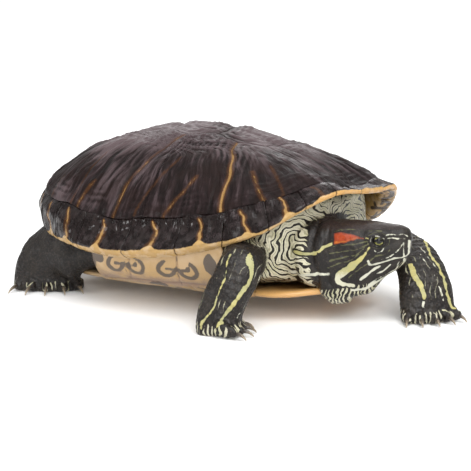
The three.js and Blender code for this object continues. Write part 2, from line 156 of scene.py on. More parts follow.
def unit(v):
    """Vectors brought to length 1."""
    return v / np.maximum(np.linalg.norm(v, axis=-1, keepdims=True), 1e-12)


def table(at, values, v):
    """Values of a table at v, on a smooth curve through its entries."""
    at, values = np.asarray(at, float), np.asarray(values, float)
    last = len(at) - 1
    low, high = np.maximum(np.arange(last + 1) - 1, 0), np.minimum(np.arange(last + 1) + 1, last)
    slope = (values[high] - values[low]) / (at[high] - at[low])
    i = np.clip(np.searchsorted(at, v, side="left") - 1, 0, last - 1)
    h = at[i + 1] - at[i]
    t = clamp((v - at[i]) / h)
    u = 1 - t
    return (values[i] * (1 + 2 * t) * u * u + values[i + 1] * t * t * (3 - 2 * t)
            + h * t * u * (slope[i] * u - slope[i + 1] * t))


def scatter(cell, seed):
    """A repeatable number in 0..1 for each whole-number cell."""
    n = (cell[..., 0] * 73856093) ^ (cell[..., 1] * 19349663) ^ (cell[..., 2] * 83492791) ^ (seed * 7919)
    n = (n ^ (n >> 13)) * 1274126177
    n = (n ^ (n >> 16)) & 0xFFFFFF
    return n / float(0xFFFFFF)


def noise(p, seed=0):
    """Smooth noise between -1 and 1 at points p."""
    p = np.asarray(p, float)
    cell = np.floor(p).astype(np.int64)
    f = p - cell
    f = f * f * f * (f * (f * 6 - 15) + 10)
    total = np.zeros(len(p))
    for step in product((0, 1), repeat=3):
        total += np.prod(np.where(step, f, 1 - f), axis=1) * scatter(cell + step, seed)
    return total * 2 - 1


def layers(p, count, seed=0):
    """Noise at several scales, each half the size and strength of the last."""
    total, part = np.zeros(len(p)), 1.0
    for i in range(count):
        total += part * noise(np.asarray(p) * 2 ** i + 17.3 * i, seed + i)
        part *= 0.5
    return total


def cells(p, seed=0):
    """Distances to the two nearest of the points scattered one to a cell."""
    p = np.asarray(p, float)
    base = np.floor(p).astype(np.int64)
    first, second = np.full(len(p), 9.0), np.full(len(p), 9.0)
    for step in product((-1, 0, 1), repeat=3):
        cell = base + step
        spot = cell + np.stack([scatter(cell, seed + k) for k in (1, 2, 3)], 1) * 0.7 + 0.15
        d = np.linalg.norm(p - spot, axis=1)
        second = np.minimum(second, np.maximum(first, d))
        first = np.minimum(first, d)
    return first, second


def to_line(points, line):
    """Distance from points to a polyline, in as many dimensions as both have."""
    points, line = np.asarray(points, float), np.asarray(line, float)
    best = np.full(len(points), 1e9)
    for a, b in zip(line[:-1], line[1:]):
        ab = b - a
        t = clamp(((points - a) @ ab) / max(ab @ ab, 1e-9))
        best = np.minimum(best, np.linalg.norm(points - a - t[:, None] * ab, axis=1))
    return best


def spline(points, per=6):
    """Points along a smooth curve through the given ones."""
    p = np.asarray(points, float)
    p = np.vstack([2 * p[0] - p[1], p, 2 * p[-1] - p[-2]])
    out = []
    for i in range(1, len(p) - 2):
        for t in np.arange(per) / per:
            a, b, c, d = p[i - 1:i + 3]
            out.append(0.5 * (2 * b + (c - a) * t + (2 * a - 5 * b + 4 * c - d) * t * t
                              + (3 * b - a - 3 * c + d) * t ** 3))
    return np.array(out + [p[-2]])


# ------------------------------------------------------------------ the shell's surfaces
def rim(t):
    """Free edge of the rim at angle t from the front; positive angles run along the left side."""
    c, s = np.cos(t), np.sin(t)
    n = 2.4 + 0.32 * clamp(c * 1.5) - 0.18 * clamp(-c * 1.5)
    y = -np.where(c > 0, FRONT, REAR) * spow(c, 2 / n)
    x = HALF_WIDTH * spow(s, 2 / n) * (1 - TAPER * c)
    return np.stack([x, y, table(RIM_AT, RIM_Z, np.abs(np.degrees(t)))], -1)


def seam(t):
    """Seam between the domed plates and the rim plates."""
    p, front, rear = rim(t), clamp(np.cos(t)), clamp(-np.cos(t))
    k = 0.885 + 0.015 * front + 0.135 * rear
    wave = 0.6 * np.sin(11 * t) + 0.4 * np.sin(23 * t + 1) * (1 - front)
    return np.stack([p[..., 0] * k, p[..., 1] * k, p[..., 2] + 15 - 12.5 * front ** 3 + 5 * rear + wave], -1)


def dome(t, r):
    """Outer surface of the dome; r runs from 0 at the crown to 1 at the seam."""
    s, front, rear = seam(t), clamp(np.cos(t)), clamp(-np.cos(t))
    power, blunt = 2.1 - 0.45 * front + 0.1 * rear, 0.6 + 0.34 * front - 0.08 * rear
    ends = (1 - DOME_END ** power) ** blunt
    rise = ((1 - (DOME_END * r) ** power) ** blunt - ends) / (1 - ends)
    keel = 1.6 * np.exp(-((s[..., 0] * r) ** 2) / 30) * (1 - smooth(0.75, 1, r))
    z = s[..., 2] + (TOP - s[..., 2]) * rise + keel
    return np.stack([s[..., 0] * r, s[..., 1] * r + CROWN_Y * (1 - r), z], -1)


class Unrolled:
    """The dome laid flat: polar about the crown, with true lengths down the slope."""

    def __init__(self, turns=720, rings=240):
        t = np.linspace(-math.pi, math.pi, turns + 1)
        self.r = np.linspace(0, 1, rings + 1)
        out = seam(t)
        self.angle = np.unwrap(np.arctan2(out[:, 1] - CROWN_Y, out[:, 0]))
        self.t, self.reach = t, np.hypot(out[:, 0], out[:, 1] - CROWN_Y)
        grid = dome(t[:, None] * np.ones(rings + 1), self.r[None, :] * np.ones((turns + 1, 1)))
        steps = np.linalg.norm(np.diff(grid, axis=1), axis=2)
        self.length = np.concatenate([np.zeros((turns + 1, 1)), np.cumsum(steps, 1)], 1)

    def row(self, x, y):
        """Which turn of the grid a direction from the crown lies on."""
        a = np.arctan2(y, x)
        a = self.angle[0] + (a - self.angle[0]) % (2 * math.pi)
        return np.interp(a, self.angle, np.arange(len(self.angle)))

    def down_to(self, row, r):
        """Length down the slope from the crown to r."""
        i = np.clip(row.astype(int), 0, len(self.t) - 2)
        f = row - i
        j = clamp(r) * (len(self.r) - 1)
        k = np.clip(j.astype(int), 0, len(self.r) - 2)
        g = j - k
        near = self.length[i, k] * (1 - g) + self.length[i, k + 1] * g
        far = self.length[i + 1, k] * (1 - g) + self.length[i + 1, k + 1] * g
        return near * (1 - f) + far * f

    def reach_at(self, x, y):
        """How far out a plan point lies, from 0 at the crown to 1 at the seam."""
        row = self.row(x, y - CROWN_Y)
        return np.hypot(x, y - CROWN_Y) / np.interp(row, np.arange(len(self.t)), self.reach)

    def flat(self, x, y):
        """Plan points to the unrolled sheet."""
        row, a = self.row(x, y - CROWN_Y), np.arctan2(y - CROWN_Y, x)
        d = self.down_to(row, self.reach_at(x, y))
        return np.stack([d * np.cos(a), d * np.sin(a)], -1)

    def solve(self, uv):
        """Points of the unrolled sheet to (t, r)."""
        row, d = self.row(uv[:, 0], uv[:, 1]), np.hypot(uv[:, 0], uv[:, 1])
        low, high = np.zeros(len(d)), np.ones(len(d))
        for _ in range(22):  # halvings, to a fraction of a micron
            mid = (low + high) / 2
            less = self.down_to(row, mid) < d
            low, high = np.where(less, mid, low), np.where(less, high, mid)
        return np.interp(row, np.arange(len(self.t)), self.t), (low + high) / 2


def shell_to_model(p):
    """Millimetres on the shell to metres in the model."""
    x = p[:, 0] * math.cos(ROLL) + p[:, 2] * math.sin(ROLL)
    z = -p[:, 0] * math.sin(ROLL) + p[:, 2] * math.cos(ROLL)
    y = p[:, 1] * math.cos(PITCH) + z * math.sin(PITCH)
    z = -p[:, 1] * math.sin(PITCH) + z * math.cos(PITCH) + LIFT
    return (np.stack([x, y, z], 1) + SHIFT) * MM


def to_shell(p):
    """Working millimetres to the shell's own frame."""
    z = p[:, 2] - LIFT
    y = p[:, 1] * math.cos(PITCH) - z * math.sin(PITCH)
    z = p[:, 1] * math.sin(PITCH) + z * math.cos(PITCH)
    x = p[:, 0] * math.cos(ROLL) - z * math.sin(ROLL)
    z = p[:, 0] * math.sin(ROLL) + z * math.cos(ROLL)
    return np.stack([x, y, z], 1)


def flesh_to_model(p):
    """Working millimetres to metres in the model."""
    return (p + SHIFT) * MM


def normals_of(points, faces):
    """Vertex normals of a triangle mesh."""
    faces = np.asarray(faces)
    a, b, c = points[faces[:, 0]], points[faces[:, 1]], points[faces[:, 2]]
    face = np.cross(b - a, c - a)
    out = np.zeros_like(points)
    for k in range(3):
        np.add.at(out, faces[:, k], face)
    return unit(out)


def grid_normals(p):
    """Normals of a grid of points."""
    return unit(np.cross(np.gradient(p, axis=0), np.gradient(p, axis=1)))


# ------------------------------------------------------------------ making pieces
def make_piece(name, points, faces, material, values=None, stands_for=()):
    """A smooth mesh piece from metres, with one float attribute for each entry of values."""
    mesh = bpy.data.meshes.new(name)
    mesh.from_pydata([tuple(p) for p in points], [], [tuple(int(i) for i in f) for f in faces])
    mesh.validate()
    mesh.update()
    obj = bpy.data.objects.new(name, mesh)
    bpy.context.scene.collection.objects.link(obj)
    mesh.shade_smooth()
    set_values(mesh, values or {})
    mesh.materials.append(material)
    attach(obj, "root")
    if stands_for:
        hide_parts(*stands_for)
    return obj


def set_values(mesh, values):
    """Stores one number at each vertex under each name, for the materials to read."""
    for key, value in values.items():
        layer = mesh.attributes.get(key) or mesh.attributes.new(key, "FLOAT", "POINT")
        layer.data.foreach_set("value", np.asarray(value, np.float32))


def activate(obj):
    """Selects one object alone, for the operators that work on the selection."""
    bpy.ops.object.select_all(action="DESELECT")
    obj.select_set(True)
    bpy.context.view_layer.objects.active = obj


def face_outward(obj):
    """Turns every face of a closed mesh outwards."""
    activate(obj)
    bpy.ops.object.mode_set(mode="EDIT")
    bpy.ops.mesh.select_all(action="SELECT")
    bpy.ops.mesh.normals_make_consistent(inside=False)
    bpy.ops.object.mode_set(mode="OBJECT")


EDGE_ROWS = [0.3, 0.7, 1.25]  # rows of points inside a plate's edge, in millimetres from it
EDGE_SHARE = 0.9  # spacing along the edge, over that inside
ROW_HEIGHT = 0.866  # between rows of an even triangle grid, over its spacing


def fill_outline(outline, spacing):
    """Triangles over a flat outline: rows of points along its edge, an even scatter inside."""
    a, b = outline, np.roll(outline, -1, axis=0)
    counts = np.maximum(1, np.round(np.linalg.norm(b - a, axis=1) / (spacing * EDGE_SHARE)).astype(int))
    edge = np.vstack([p + (q - p) * (np.arange(n) / n)[:, None] for p, q, n in zip(a, b, counts)])
    loop = np.vstack([edge, edge[:1]])
    ahead, behind = np.roll(edge, -1, axis=0) - edge, edge - np.roll(edge, 1, axis=0)
    along = unit(ahead) + unit(behind)
    inward = unit(np.stack([-along[:, 1], along[:, 0]], 1))
    inside = []
    for row in EDGE_ROWS:
        moved = edge + inward * row
        inside.append(moved[to_line(moved, loop) > row * 0.93])  # clear of the other side of a corner
    low, high = edge.min(0), edge.max(0)
    xs = np.arange(low[0], high[0], spacing)
    ys = np.arange(low[1], high[1], spacing * ROW_HEIGHT)
    grid = np.stack(np.meshgrid(xs, ys), -1)
    grid[1::2, :, 0] += spacing / 2
    grid = grid.reshape(-1, 2)
    grid = grid[contains(loop, grid)]
    inside.append(grid[to_line(grid, loop) > EDGE_ROWS[-1] + spacing * 0.75])
    points = [Vector(p) for p in np.vstack([edge] + inside)]
    verts, _, tris, *_ = delaunay_2d_cdt(points, [], [list(range(len(edge)))], 1, 1e-5)
    return np.array([tuple(v) for v in verts]), [list(t) for t in tris], len(edge)


def contains(loop, points):
    """Whether each point lies inside a closed outline."""
    inside = np.zeros(len(points), bool)
    x, y = points[:, 0], points[:, 1]
    for (x1, y1), (x2, y2) in zip(loop[:-1], loop[1:]):
        if y1 == y2:
            continue
        inside ^= ((y1 > y) != (y2 > y)) & (x < (x2 - x1) * (y - y1) / (y2 - y1) + x1)
    return inside


def close_below(points, faces, edge, drop):
    """Closes a plate below: its edge goes down by drop, and a fan joins it under the middle."""
    n = len(points)
    lower = points[edge] - drop
    middle = lower.mean(0) - [0, 0, 1.0]
    points = np.vstack([points, lower, middle[None]])
    m = len(edge)
    faces = list(faces)
    for i in range(m):
        j = (i + 1) % m
        faces.append([edge[j], edge[i], n + i])
        faces.append([edge[j], n + i, n + j])
        faces.append([n + j, n + i, n + m])
    return points, faces


def edge_relief(d):
    """Height at a distance from a plate's edge: the joint's groove, and the swelling next to it."""
    return -0.34 * bump(d, 0.45) + 0.16 * bump(d - 3.2, 1.8)


# ------------------------------------------------------------------ domed plates
def wavy(a, b, seed, strength=0.9):
    """A slightly wandering line between two plan points, the same from either end."""
    a, b = np.array(a, float), np.array(b, float)
    s = np.linspace(0, 1, 15)
    ab = b - a
    off = np.array([-ab[1], ab[0]]) / np.linalg.norm(ab)
    sway = strength * np.sin(s * 7 + seed * 1.7) * np.sin(math.pi * s) ** 0.7
    sway += 0.4 * strength * np.sin(s * 19 + seed) * np.sin(math.pi * s)
    return a + ab * s[:, None] + off * sway[:, None]


def to_seam(sheet, a, b):
    """The point where the line from a to b leaves the dome."""
    a, b = np.array(a, float), np.array(b, float)
    low, high = 0.0, 1.0
    for _ in range(40):
        mid = (low + high) / 2
        p = a + (b - a) * mid
        if sheet.reach_at(p[:1], p[1:])[0] < 1:
            low = mid
        else:
            high = mid
    return tuple(a + (b - a) * low)


def along_seam(sheet, a, b):
    """Points along the outer seam from plan point a to b, the short way."""
    angles = [math.atan2(p[1] - CROWN_Y, p[0]) for p in (a, b)]
    turn = (angles[1] - angles[0] + math.pi) % (2 * math.pi) - math.pi
    steps = np.linspace(0, 1, 24)
    row = sheet.row(np.cos(angles[0] + turn * steps), np.sin(angles[0] + turn * steps))
    out = seam(np.interp(row, np.arange(len(sheet.t)), sheet.t))
    return out[:, :2]


def plate_outlines(sheet):
    """Plan outlines of the vertebral and costal plates, by node name, anticlockwise."""
    corner = [(HALF[i], VERTEBRAL_Y[i]) for i in range(6)]
    corner[0] = to_seam(sheet, WAIST[0], corner[0])
    corner[5] = to_seam(sheet, WAIST[4], corner[5])
    out = [to_seam(sheet, waist, far) for waist, far in zip(WAIST, COSTAL_TO)]
    lines = {}
    for i in range(5):
        lines["in", i] = wavy(corner[i], WAIST[i], i + 1, 0.7)  # front half of a side
        lines["out", i] = wavy(WAIST[i], corner[i + 1], i + 7, 0.7)  # rear half
        lines["costal", i] = wavy(WAIST[i], out[i], i + 3, 1.3)
        if i > 0:
            lines["cross", i] = wavy((-HALF[i], VERTEBRAL_Y[i]), corner[i], i, 1.1)
    sheet.joints = {i: lines["costal", i] for i in (1, 2, 3)}
    flip = np.array([-1, 1])
    shapes = {}
    for i in range(5):
        left = np.vstack([lines["in", i], lines["out", i][1:]])
        right = (left * flip)[::-1]
        front = along_seam(sheet, corner[0] * flip, corner[0]) if i == 0 else lines["cross", i]
        back = along_seam(sheet, corner[5], corner[5] * flip) if i == 4 else lines["cross", i + 1][::-1]
        shapes[f"vertebral_{i + 1}"] = np.vstack([front[:-1], left[:-1], back[:-1], right[:-1]])
    for i in range(4):
        # From the seam up the front joint, back along the middle row, down the rear joint.
        inner = [lines["out", i], lines["in", i + 1][1:]]
        if i == 0:
            front, start, inner[0] = [lines["in", 0]], corner[0], inner[0][1:]
        else:
            front, start = [lines["costal", i][::-1][:-1]], out[i]
        if i == 3:
            rear, end = [lines["out", 4][1:]], corner[5]
        else:
            rear, end = [lines["costal", i + 1][1:]], out[i + 1]
        rest = along_seam(sheet, end, start)[1:-1]
        loop = np.vstack(front + inner + rear + [rest])[::-1]
        shapes[f"costal_left_{i + 1}"] = loop
        shapes[f"costal_right_{i + 1}"] = (loop * flip)[::-1]
    return shapes


def dome_plate(sheet, name, plan, horn, spacing):
    """One plate of the back: its outline filled, raised by its growth and wear, and closed below."""
    uv, faces, count = fill_outline(sheet.flat(plan[:, 0], plan[:, 1]), spacing)
    t, r = sheet.solve(uv)
    p = dome(t, r)
    loop = np.vstack([uv[:count], uv[:1]])
    d = to_line(uv, loop)
    normal = normals_of(p, faces)
    lengthwise = name.startswith("vertebral")
    # Wrinkles of old horn: along the back on the middle row, down the slope on the sides.
    if lengthwise:
        across, down = p[:, 0], p[:, 1]
    else:
        fall = np.arctan2(uv[:, 1], uv[:, 0]) * 58  # arc at 58 mm from the crown
        down = np.hypot(uv[:, 0], uv[:, 1])
        lean = smooth(45, 15, down)
        across = fall * (1 - lean) + (p[:, 0] + p[:, 1] * 0.25) * lean
    across = across + 1.6 * noise(p / 11, 9)
    grain = np.stack([across / 2.4, down / 17, np.full(len(p), 7.7 - 4.6 * lengthwise)], 1)
    inner = smooth(0.2, 3, d)
    wrinkle = 0.62 * layers(grain, 3, 11) * inner
    ring = 0.26 * np.sin(d * 1.9 + 2.4 * noise(p / 9, 5)) * smooth(20, 5, d) * smooth(0.8, 2.5, d)
    ring *= 0.6 + 0.8 * smooth(-0.3, 0.4, noise(p / 16, 35))
    swell = 0.75 * noise(p / 12, 21) * smooth(0, 6, d)
    pits = -0.10 * smooth(0.35, 0.75, layers(p / 3.4, 2, 31)) * inner
    # Plates meet in broad valleys, except along the rim.
    valley = (-0.95 * bump(d, 3.6) + 0.30 * bump(d - 8, 4)) * smooth(1.0, 0.9, r)
    p = p + normal * (edge_relief(d) * (0.5 + 0.5 * smooth(1.0, 0.95, r)) + valley
                      + wrinkle + ring + swell + pits)[:, None]
    streak = streaks(name, sheet, uv, p)
    # Paler where painted sheen falls on the crown and towards the rear, and with wear on the rings and in
    # broad clouds; least low in front.
    crown = smooth(0.55, 1.0, clamp((p[:, 2] - 35) / 46)) * (1 + 0.5 * wrinkle)
    behind = smooth(-5, 65, p[:, 1]) * (0.45 + 0.9 * wrinkle + 0.6 * noise(p / 14, 33))
    low = smooth(45, 5, p[:, 1]) * smooth(62, 45, p[:, 2])
    values = {
        # No dirt is drawn along the seam or where a streak crosses a joint.
        "joint": np.maximum(np.maximum(d, 2.0 * smooth(0.95, 0.995, r)), 0.6 * smooth(1.2, 0.0, streak)),
        "ridge": wrinkle / 0.52 + 3.0 * ring,
        "across": across,
        "down": down,
        "wear_and_sheen": crown + behind + 0.5 * layers(p / 26, 2, 37) + 0.9 * ring - 0.25 * low,
        "streak": streak,
    }
    solid, faces = close_below(p, faces, list(range(count)), normal[:count] * HORN_THICK)
    extra = len(solid) - len(p)
    values = {k: np.concatenate([v, np.full(extra, v.min())]) for k, v in values.items()}
    return make_piece(f"{name}_horn", shell_to_model(solid), faces, horn, values, [name])


FAR = 9.0  # a distance to a mark, in millimetres, at which nothing of it shows
# Half-widths of the streaks along the joints of the side plates; below 0 only the glow shows.
STREAK_HALF = {1: 0.8, 2: 0.3, 3: -0.35}
# Streaks inside a side plate, as plan points of the left side.
STREAKS = {1: [(40, -40), (47, -48), (53, -57)], 2: [(50, -14), (57, -9), (64, -3)], 3: [(56, 46), (63, 52)]}
FAINT_STREAKS = {1: [(33, -46), (42, -58), (48, -66)], 2: [(42, 2), (54, 8), (64, 14)],
                 4: [(46, 74), (54, 80)]}


def streaks(name, sheet, uv, p):
    """Signed distance to the yellow streaks of a side plate: along its joints, and down its middle."""
    out = np.full(len(p), FAR)
    if not name.startswith("costal"):
        return out
    number, side = int(name[-1]), (-1 if "right" in name else 1)

    def away_from(line):
        x, y = np.array(line, float).T
        return to_line(uv, spline(sheet.flat(x * side, y), 5))

    wander = np.abs(0.5 * noise(p / 4, 41))
    broken = 0.5 * smooth(0.1, 0.7, noise(p / 7, 43))
    wider = 0.75 + 0.25 * smooth(0, 40, np.hypot(uv[:, 0], uv[:, 1]))
    for joint, half in STREAK_HALF.items():
        if number in (joint, joint + 1):
            out = np.minimum(out, away_from(sheet.joints[joint]) - half * wider + wander * 0.7 + broken)
    if number in STREAKS:
        out = np.minimum(out, away_from(STREAKS[number]) - 0.35 + wander + broken)
    if number in FAINT_STREAKS:
        out = np.minimum(out, away_from(FAINT_STREAKS[number]) + 0.3 + wander)
    return out


# ------------------------------------------------------------------ rim plates
def rim_section(t):
    """Section of the rim at angle t: rows of (distance out, height), from the seam round the edge."""
    e, s = rim(t), seam(t)
    side, rear = np.sin(t) ** 2, smooth(0.1, 0.8, -np.cos(t))
    far, kin = np.hypot(e[:, 0], e[:, 1]), np.hypot(s[:, 0], s[:, 1]) / np.hypot(e[:, 0], e[:, 1])
    ez, sz = e[:, 2], s[:, 2]
    rows = [
        (kin - 0.006, sz + 0.05),
        (kin + (1 - kin) * (0.45 - 0.22 * side) + 0.030 * rear, sz - (sz - ez) * (0.34 + 0.14 * side)),
        (0.994 + 0.012 * rear, ez + 1.6 + 1.2 * rear),
        (0.998, ez - 0.2),
        (0.98, ez - 1.1 - 1.2 * side),
        (0.9 + 0.025 * side, ez - 0.4 - 3.7 * side),
        (np.minimum(kin, 0.93) - 0.02, np.minimum(ez + 2.5 - 3 * side, sz - 3)),
        (kin - 0.035, sz - 3.4 - 0.8 * side),
    ]
    return e, far, np.stack([np.stack([k * far, z], -1) for k, z in rows], 1)


def rim_plate(name, start, end, horn, spacing):
    """One rim plate: dark above, yellow round the free edge and below."""
    arc = np.linalg.norm(rim(np.array([start])) - rim(np.array([end]))) * 1.02
    s = np.linspace(0, 1, max(10, int(arc / spacing)) + 1)
    s = s - 0.135 * np.sin(2 * math.pi * s) / (2 * math.pi)  # closer together near the joints
    t = start + (end - start) * s
    e, far, section = rim_section(t)
    per = 7  # points to each span of the section
    rows = np.array([spline(row, per) for row in section])  # column, row, (out, height)
    out = rows[:, :, 0] / far[:, None]
    p = np.stack([e[:, None, 0] * out, e[:, None, 1] * out, rows[:, :, 1]], -1)
    steps = np.linalg.norm(np.diff(p, axis=1), axis=2)
    down = np.concatenate([np.zeros((len(t), 1)), np.cumsum(steps, 1)], 1)
    down -= down[:, 3 * per][:, None]  # 0 at the free edge, positive below
    position = (s * arc)[:, None] * np.ones(p.shape[1])
    along = np.minimum(position, arc - position)  # from the nearer joint
    normal = grid_normals(p)
    if normal[:, 2, 2].sum() < 0:
        normal = -normal
    flat = p.reshape(-1, 3)
    above = smooth(2.5, -1.5, down)
    grain = np.stack([position.ravel() / 3.2, down.ravel() / 9, np.full(len(flat), start * 9)], 1)
    growth = (0.30 * layers(grain, 3, 51) + 0.75 * noise(flat / 7, 57)).reshape(down.shape)
    growth += 0.12 * np.sin(along * 2.6) * smooth(9, 2, along) * smooth(0.5, 2, along)
    relief = 0.75 * edge_relief(along) + growth * above + 0.10 * layers(flat / 6, 2, 53).reshape(down.shape)
    points, faces = tube(p + normal * relief[:, :, None])
    values = rim_marks(t, position - arc / 2, along, down, flat)
    values = {k: np.concatenate([v.ravel(), v.ravel()[[0, -1]]]) for k, v in values.items()}
    obj = make_piece(f"{name}_horn", shell_to_model(points), faces, horn, values, [name])
    face_outward(obj)
    return obj


def rim_marks(t, middle, along, down, flat):
    """The marks of a rim plate: its yellow bar, where the yellow of the underside starts, its blotches."""
    shape = down.shape
    wander = layers(flat / 3.5, 2, 61).reshape(shape)
    sway = noise(flat / 9, 67).reshape(shape)
    deg = np.degrees(np.abs(t))[:, None] * np.ones(shape[1])
    ahead = smooth(40, 20, deg)
    # The bar stands at the middle of the plate and hooks over near its top.
    top = down / np.maximum(-down.min(), 1)  # -1 at the seam, 0 at the free edge
    hook = 2.6 * smooth(-0.62, -0.95, top)
    bar = np.abs(middle + hook + 0.8 * wander + 1.6 * sway)
    bar -= 0.5 + 0.45 * smooth(-0.5, -0.05, top) + 0.25 * sway
    bar += 3 * smooth(-0.85, -1.0, top) + 0.9 * ahead
    # Dark rings straddle each joint below, with the joint itself between them.
    ring = belly_rings(along, (down - 6.6) * 0.9, wander) + 9 * smooth(60, 66, deg) * smooth(114, 108, deg)
    spot = np.hypot(along - 1.2, down - 6.8) - 0.4 + 0.5 * wander
    dark = np.minimum(ring, np.where(ahead > 0.3, spot, FAR))
    dark = np.minimum(dark, along - 0.3)
    # The yellow climbs at the bar, so that the dark of each plate ends in a curve at the joints.
    under = down + 0.2 + 0.30 * wander + 2.6 * bump(middle, 2.6) * (1 - ahead) + 1.8 * ahead
    # Paler high up on the rim, at its raised front, as painted sheen, and at random as wear.
    wear_and_sheen = 0.5 * smooth(46, 66, flat[:, 2].reshape(shape)) + 0.3 * wander
    return {"joint": along, "streak": bar, "dark": dark, "under": under, "across": middle, "down": down,
            "orange": ahead * smooth(-2.5, -0.5, down), "wear_and_sheen": wear_and_sheen}


def belly_rings(along, up, wander):
    """Signed distance to the two dark loops at a joint: along from the joint, up from their middle."""
    out = np.abs(along)
    u = np.hypot((out - 6.1) / 1.38, up + 0.12 * (out - 6))
    loop = np.abs(u - 3.5 + 0.35 * wander) - (1.1 + 0.3 * wander)
    mouth = 3.0 * smooth(0.4, 2.2, up) * smooth(7.4, 4.6, out)
    hook = np.hypot(np.maximum(np.abs(out - 4.6) - 1.9, 0), up + 0.1) - 0.65 + 0.3 * wander
    knob = np.hypot(along + 6.4, up - 0.5) - 1.3 + 0.4 * wander
    return np.minimum(np.minimum(loop + mouth, hook), knob)


# ------------------------------------------------------------------ the plastron
BRIDGE_FROM, BRIDGE_TO, BRIDGE_IN = -38.0, 42.0, 43.0  # front, rear and inner end of a bridge


def plastron_half(y):
    """Half-width of the plastron: two lobes, with the bridges reaching out between them."""
    front = 43 * (1 - clamp((-y - 34) / 50) ** 3.0 * 0.70)
    back = 45 * (1 - clamp((y - 40) / 52) ** 2.2 * 0.5)
    lobe = np.where(y < 0, front, back)
    bridge = smooth(BRIDGE_FROM - 7, BRIDGE_FROM + 2, y) * (1 - smooth(BRIDGE_TO - 2, BRIDGE_TO + 7, y))
    return lobe + (65.3 - lobe) * bridge


def plastron_height(x, y):
    """Height of the plastron's underside: flat, turned up at both ends, and climbing to the rim."""
    edge = table(RIM_AT, RIM_Z, np.degrees(np.arccos(clamp(-y / FRONT, -1, 1)))) - 7.3
    out = clamp((np.abs(x) - BRIDGE_IN) / 20)
    climb = (edge + 2.4 * smooth(0.8, 1.0, out)) * out ** 1.8
    return climb + 1.5 * smooth(60, 95, y) + 3.5 * smooth(50, 84, -y)


# Joints of the plastron's plates, left half: plan lines in millimetres.
PLASTRON_JOINTS = [
    [(0, -84), (0, 90)],
    [(0, -61), (10, -67), (21, -80)],
    [(0, -41), (14, -40), (32, -42), (46, -46)],
    [(0, -12), (20, -12), (40, -13), (52, -12)],
    [(0, 27), (20, 26), (38, 29), (50, 40)],
    [(0, 56), (14, 60), (28, 68), (40, 74)],
]
BRIDGE_JOINTS = [
    [(49, -36), (52.5, -20), (53, 0), (53.5, 20), (50, 40)],
    [(52.6, -7), (58, -9.5), (64, -12)],
    [(53.2, 23), (58, 20.5), (64, 17)],
]


def plastron_piece(horn, spacing):
    """The belly shell with its bridges, as a slab between an underside and an inner side."""
    y = np.concatenate([[-82.0, -81.6, -81.0], np.arange(-80.2, 86.4, spacing), [87.0, 87.6, 88.0]])
    past = np.maximum(np.maximum(-79 - y, y - 85), 0)  # the ends are rounded off
    ends = 0.8 + 0.2 * np.sqrt(clamp(1 - (past / 3.05) ** 2))
    u = np.linspace(-1, 1, 145)
    u = np.sign(u) * table([0, 0.46, 1], [0, 0.68, 1], np.abs(u))  # closer together up the bridges
    x = (plastron_half(y) * ends)[:, None] * u
    y = y[:, None] * np.ones(len(u))
    round_edge = 1.2 * np.abs(u) ** 26 + 0.5 * (1 - (ends[:, None] - 0.8) / 0.2)
    low = np.stack([x, y, plastron_height(x, y) + round_edge], -1)
    high = np.stack([x, y, plastron_height(x, y) + BELLY_THICK - round_edge], -1)
    n, m = low.shape[:2]
    flat = low.reshape(-1, 3)
    plan = np.stack([np.abs(flat[:, 0]), flat[:, 1]], 1)
    d = np.min([to_line(plan, spline(line, 5)) for line in PLASTRON_JOINTS + BRIDGE_JOINTS], axis=0)
    relief = -0.55 * bump(d, 0.55) + 0.12 * bump(d - 2, 1.2)
    relief += 0.25 * noise(flat / 12, 71) + 0.07 * layers(flat / 4, 2, 73)
    relief += 0.06 * np.sin(d * 2.4 + 2 * noise(flat / 8, 75)) * smooth(9, 2, d)
    low = low + grid_normals(low) * relief.reshape(n, m, 1)
    high[:, :, 2] += 0.15 * layers(high.reshape(-1, 3) / 6, 2, 77).reshape(n, m)
    faces, over = [], n * m  # a point's twin on the inner side
    for i in range(n - 1):
        for a in range(i * m, i * m + m - 1):
            faces.append([a, a + m, a + m + 1, a + 1])
            faces.append([over + a, over + a + 1, over + a + m + 1, over + a + m])
        for a in (i * m, i * m + m - 1):
            faces.append([a, a + m, over + a + m, over + a])
    for i in (0, n - 1):
        for a in range(i * m, i * m + m - 1):
            faces.append([a, a + 1, over + a + 1, over + a])
    values = plastron_marks(flat, plan, d)
    inner = {**values, "dark": np.full(n * m, 4.0)}  # no dark rings on the inner side
    values = {k: np.concatenate([v, inner[k]]) for k, v in values.items()}
    points = np.vstack([low.reshape(-1, 3), high.reshape(-1, 3)])
    obj = make_piece("plastron_horn", shell_to_model(points), faces, horn, values, ["plastron"])
    face_outward(obj)
    return obj


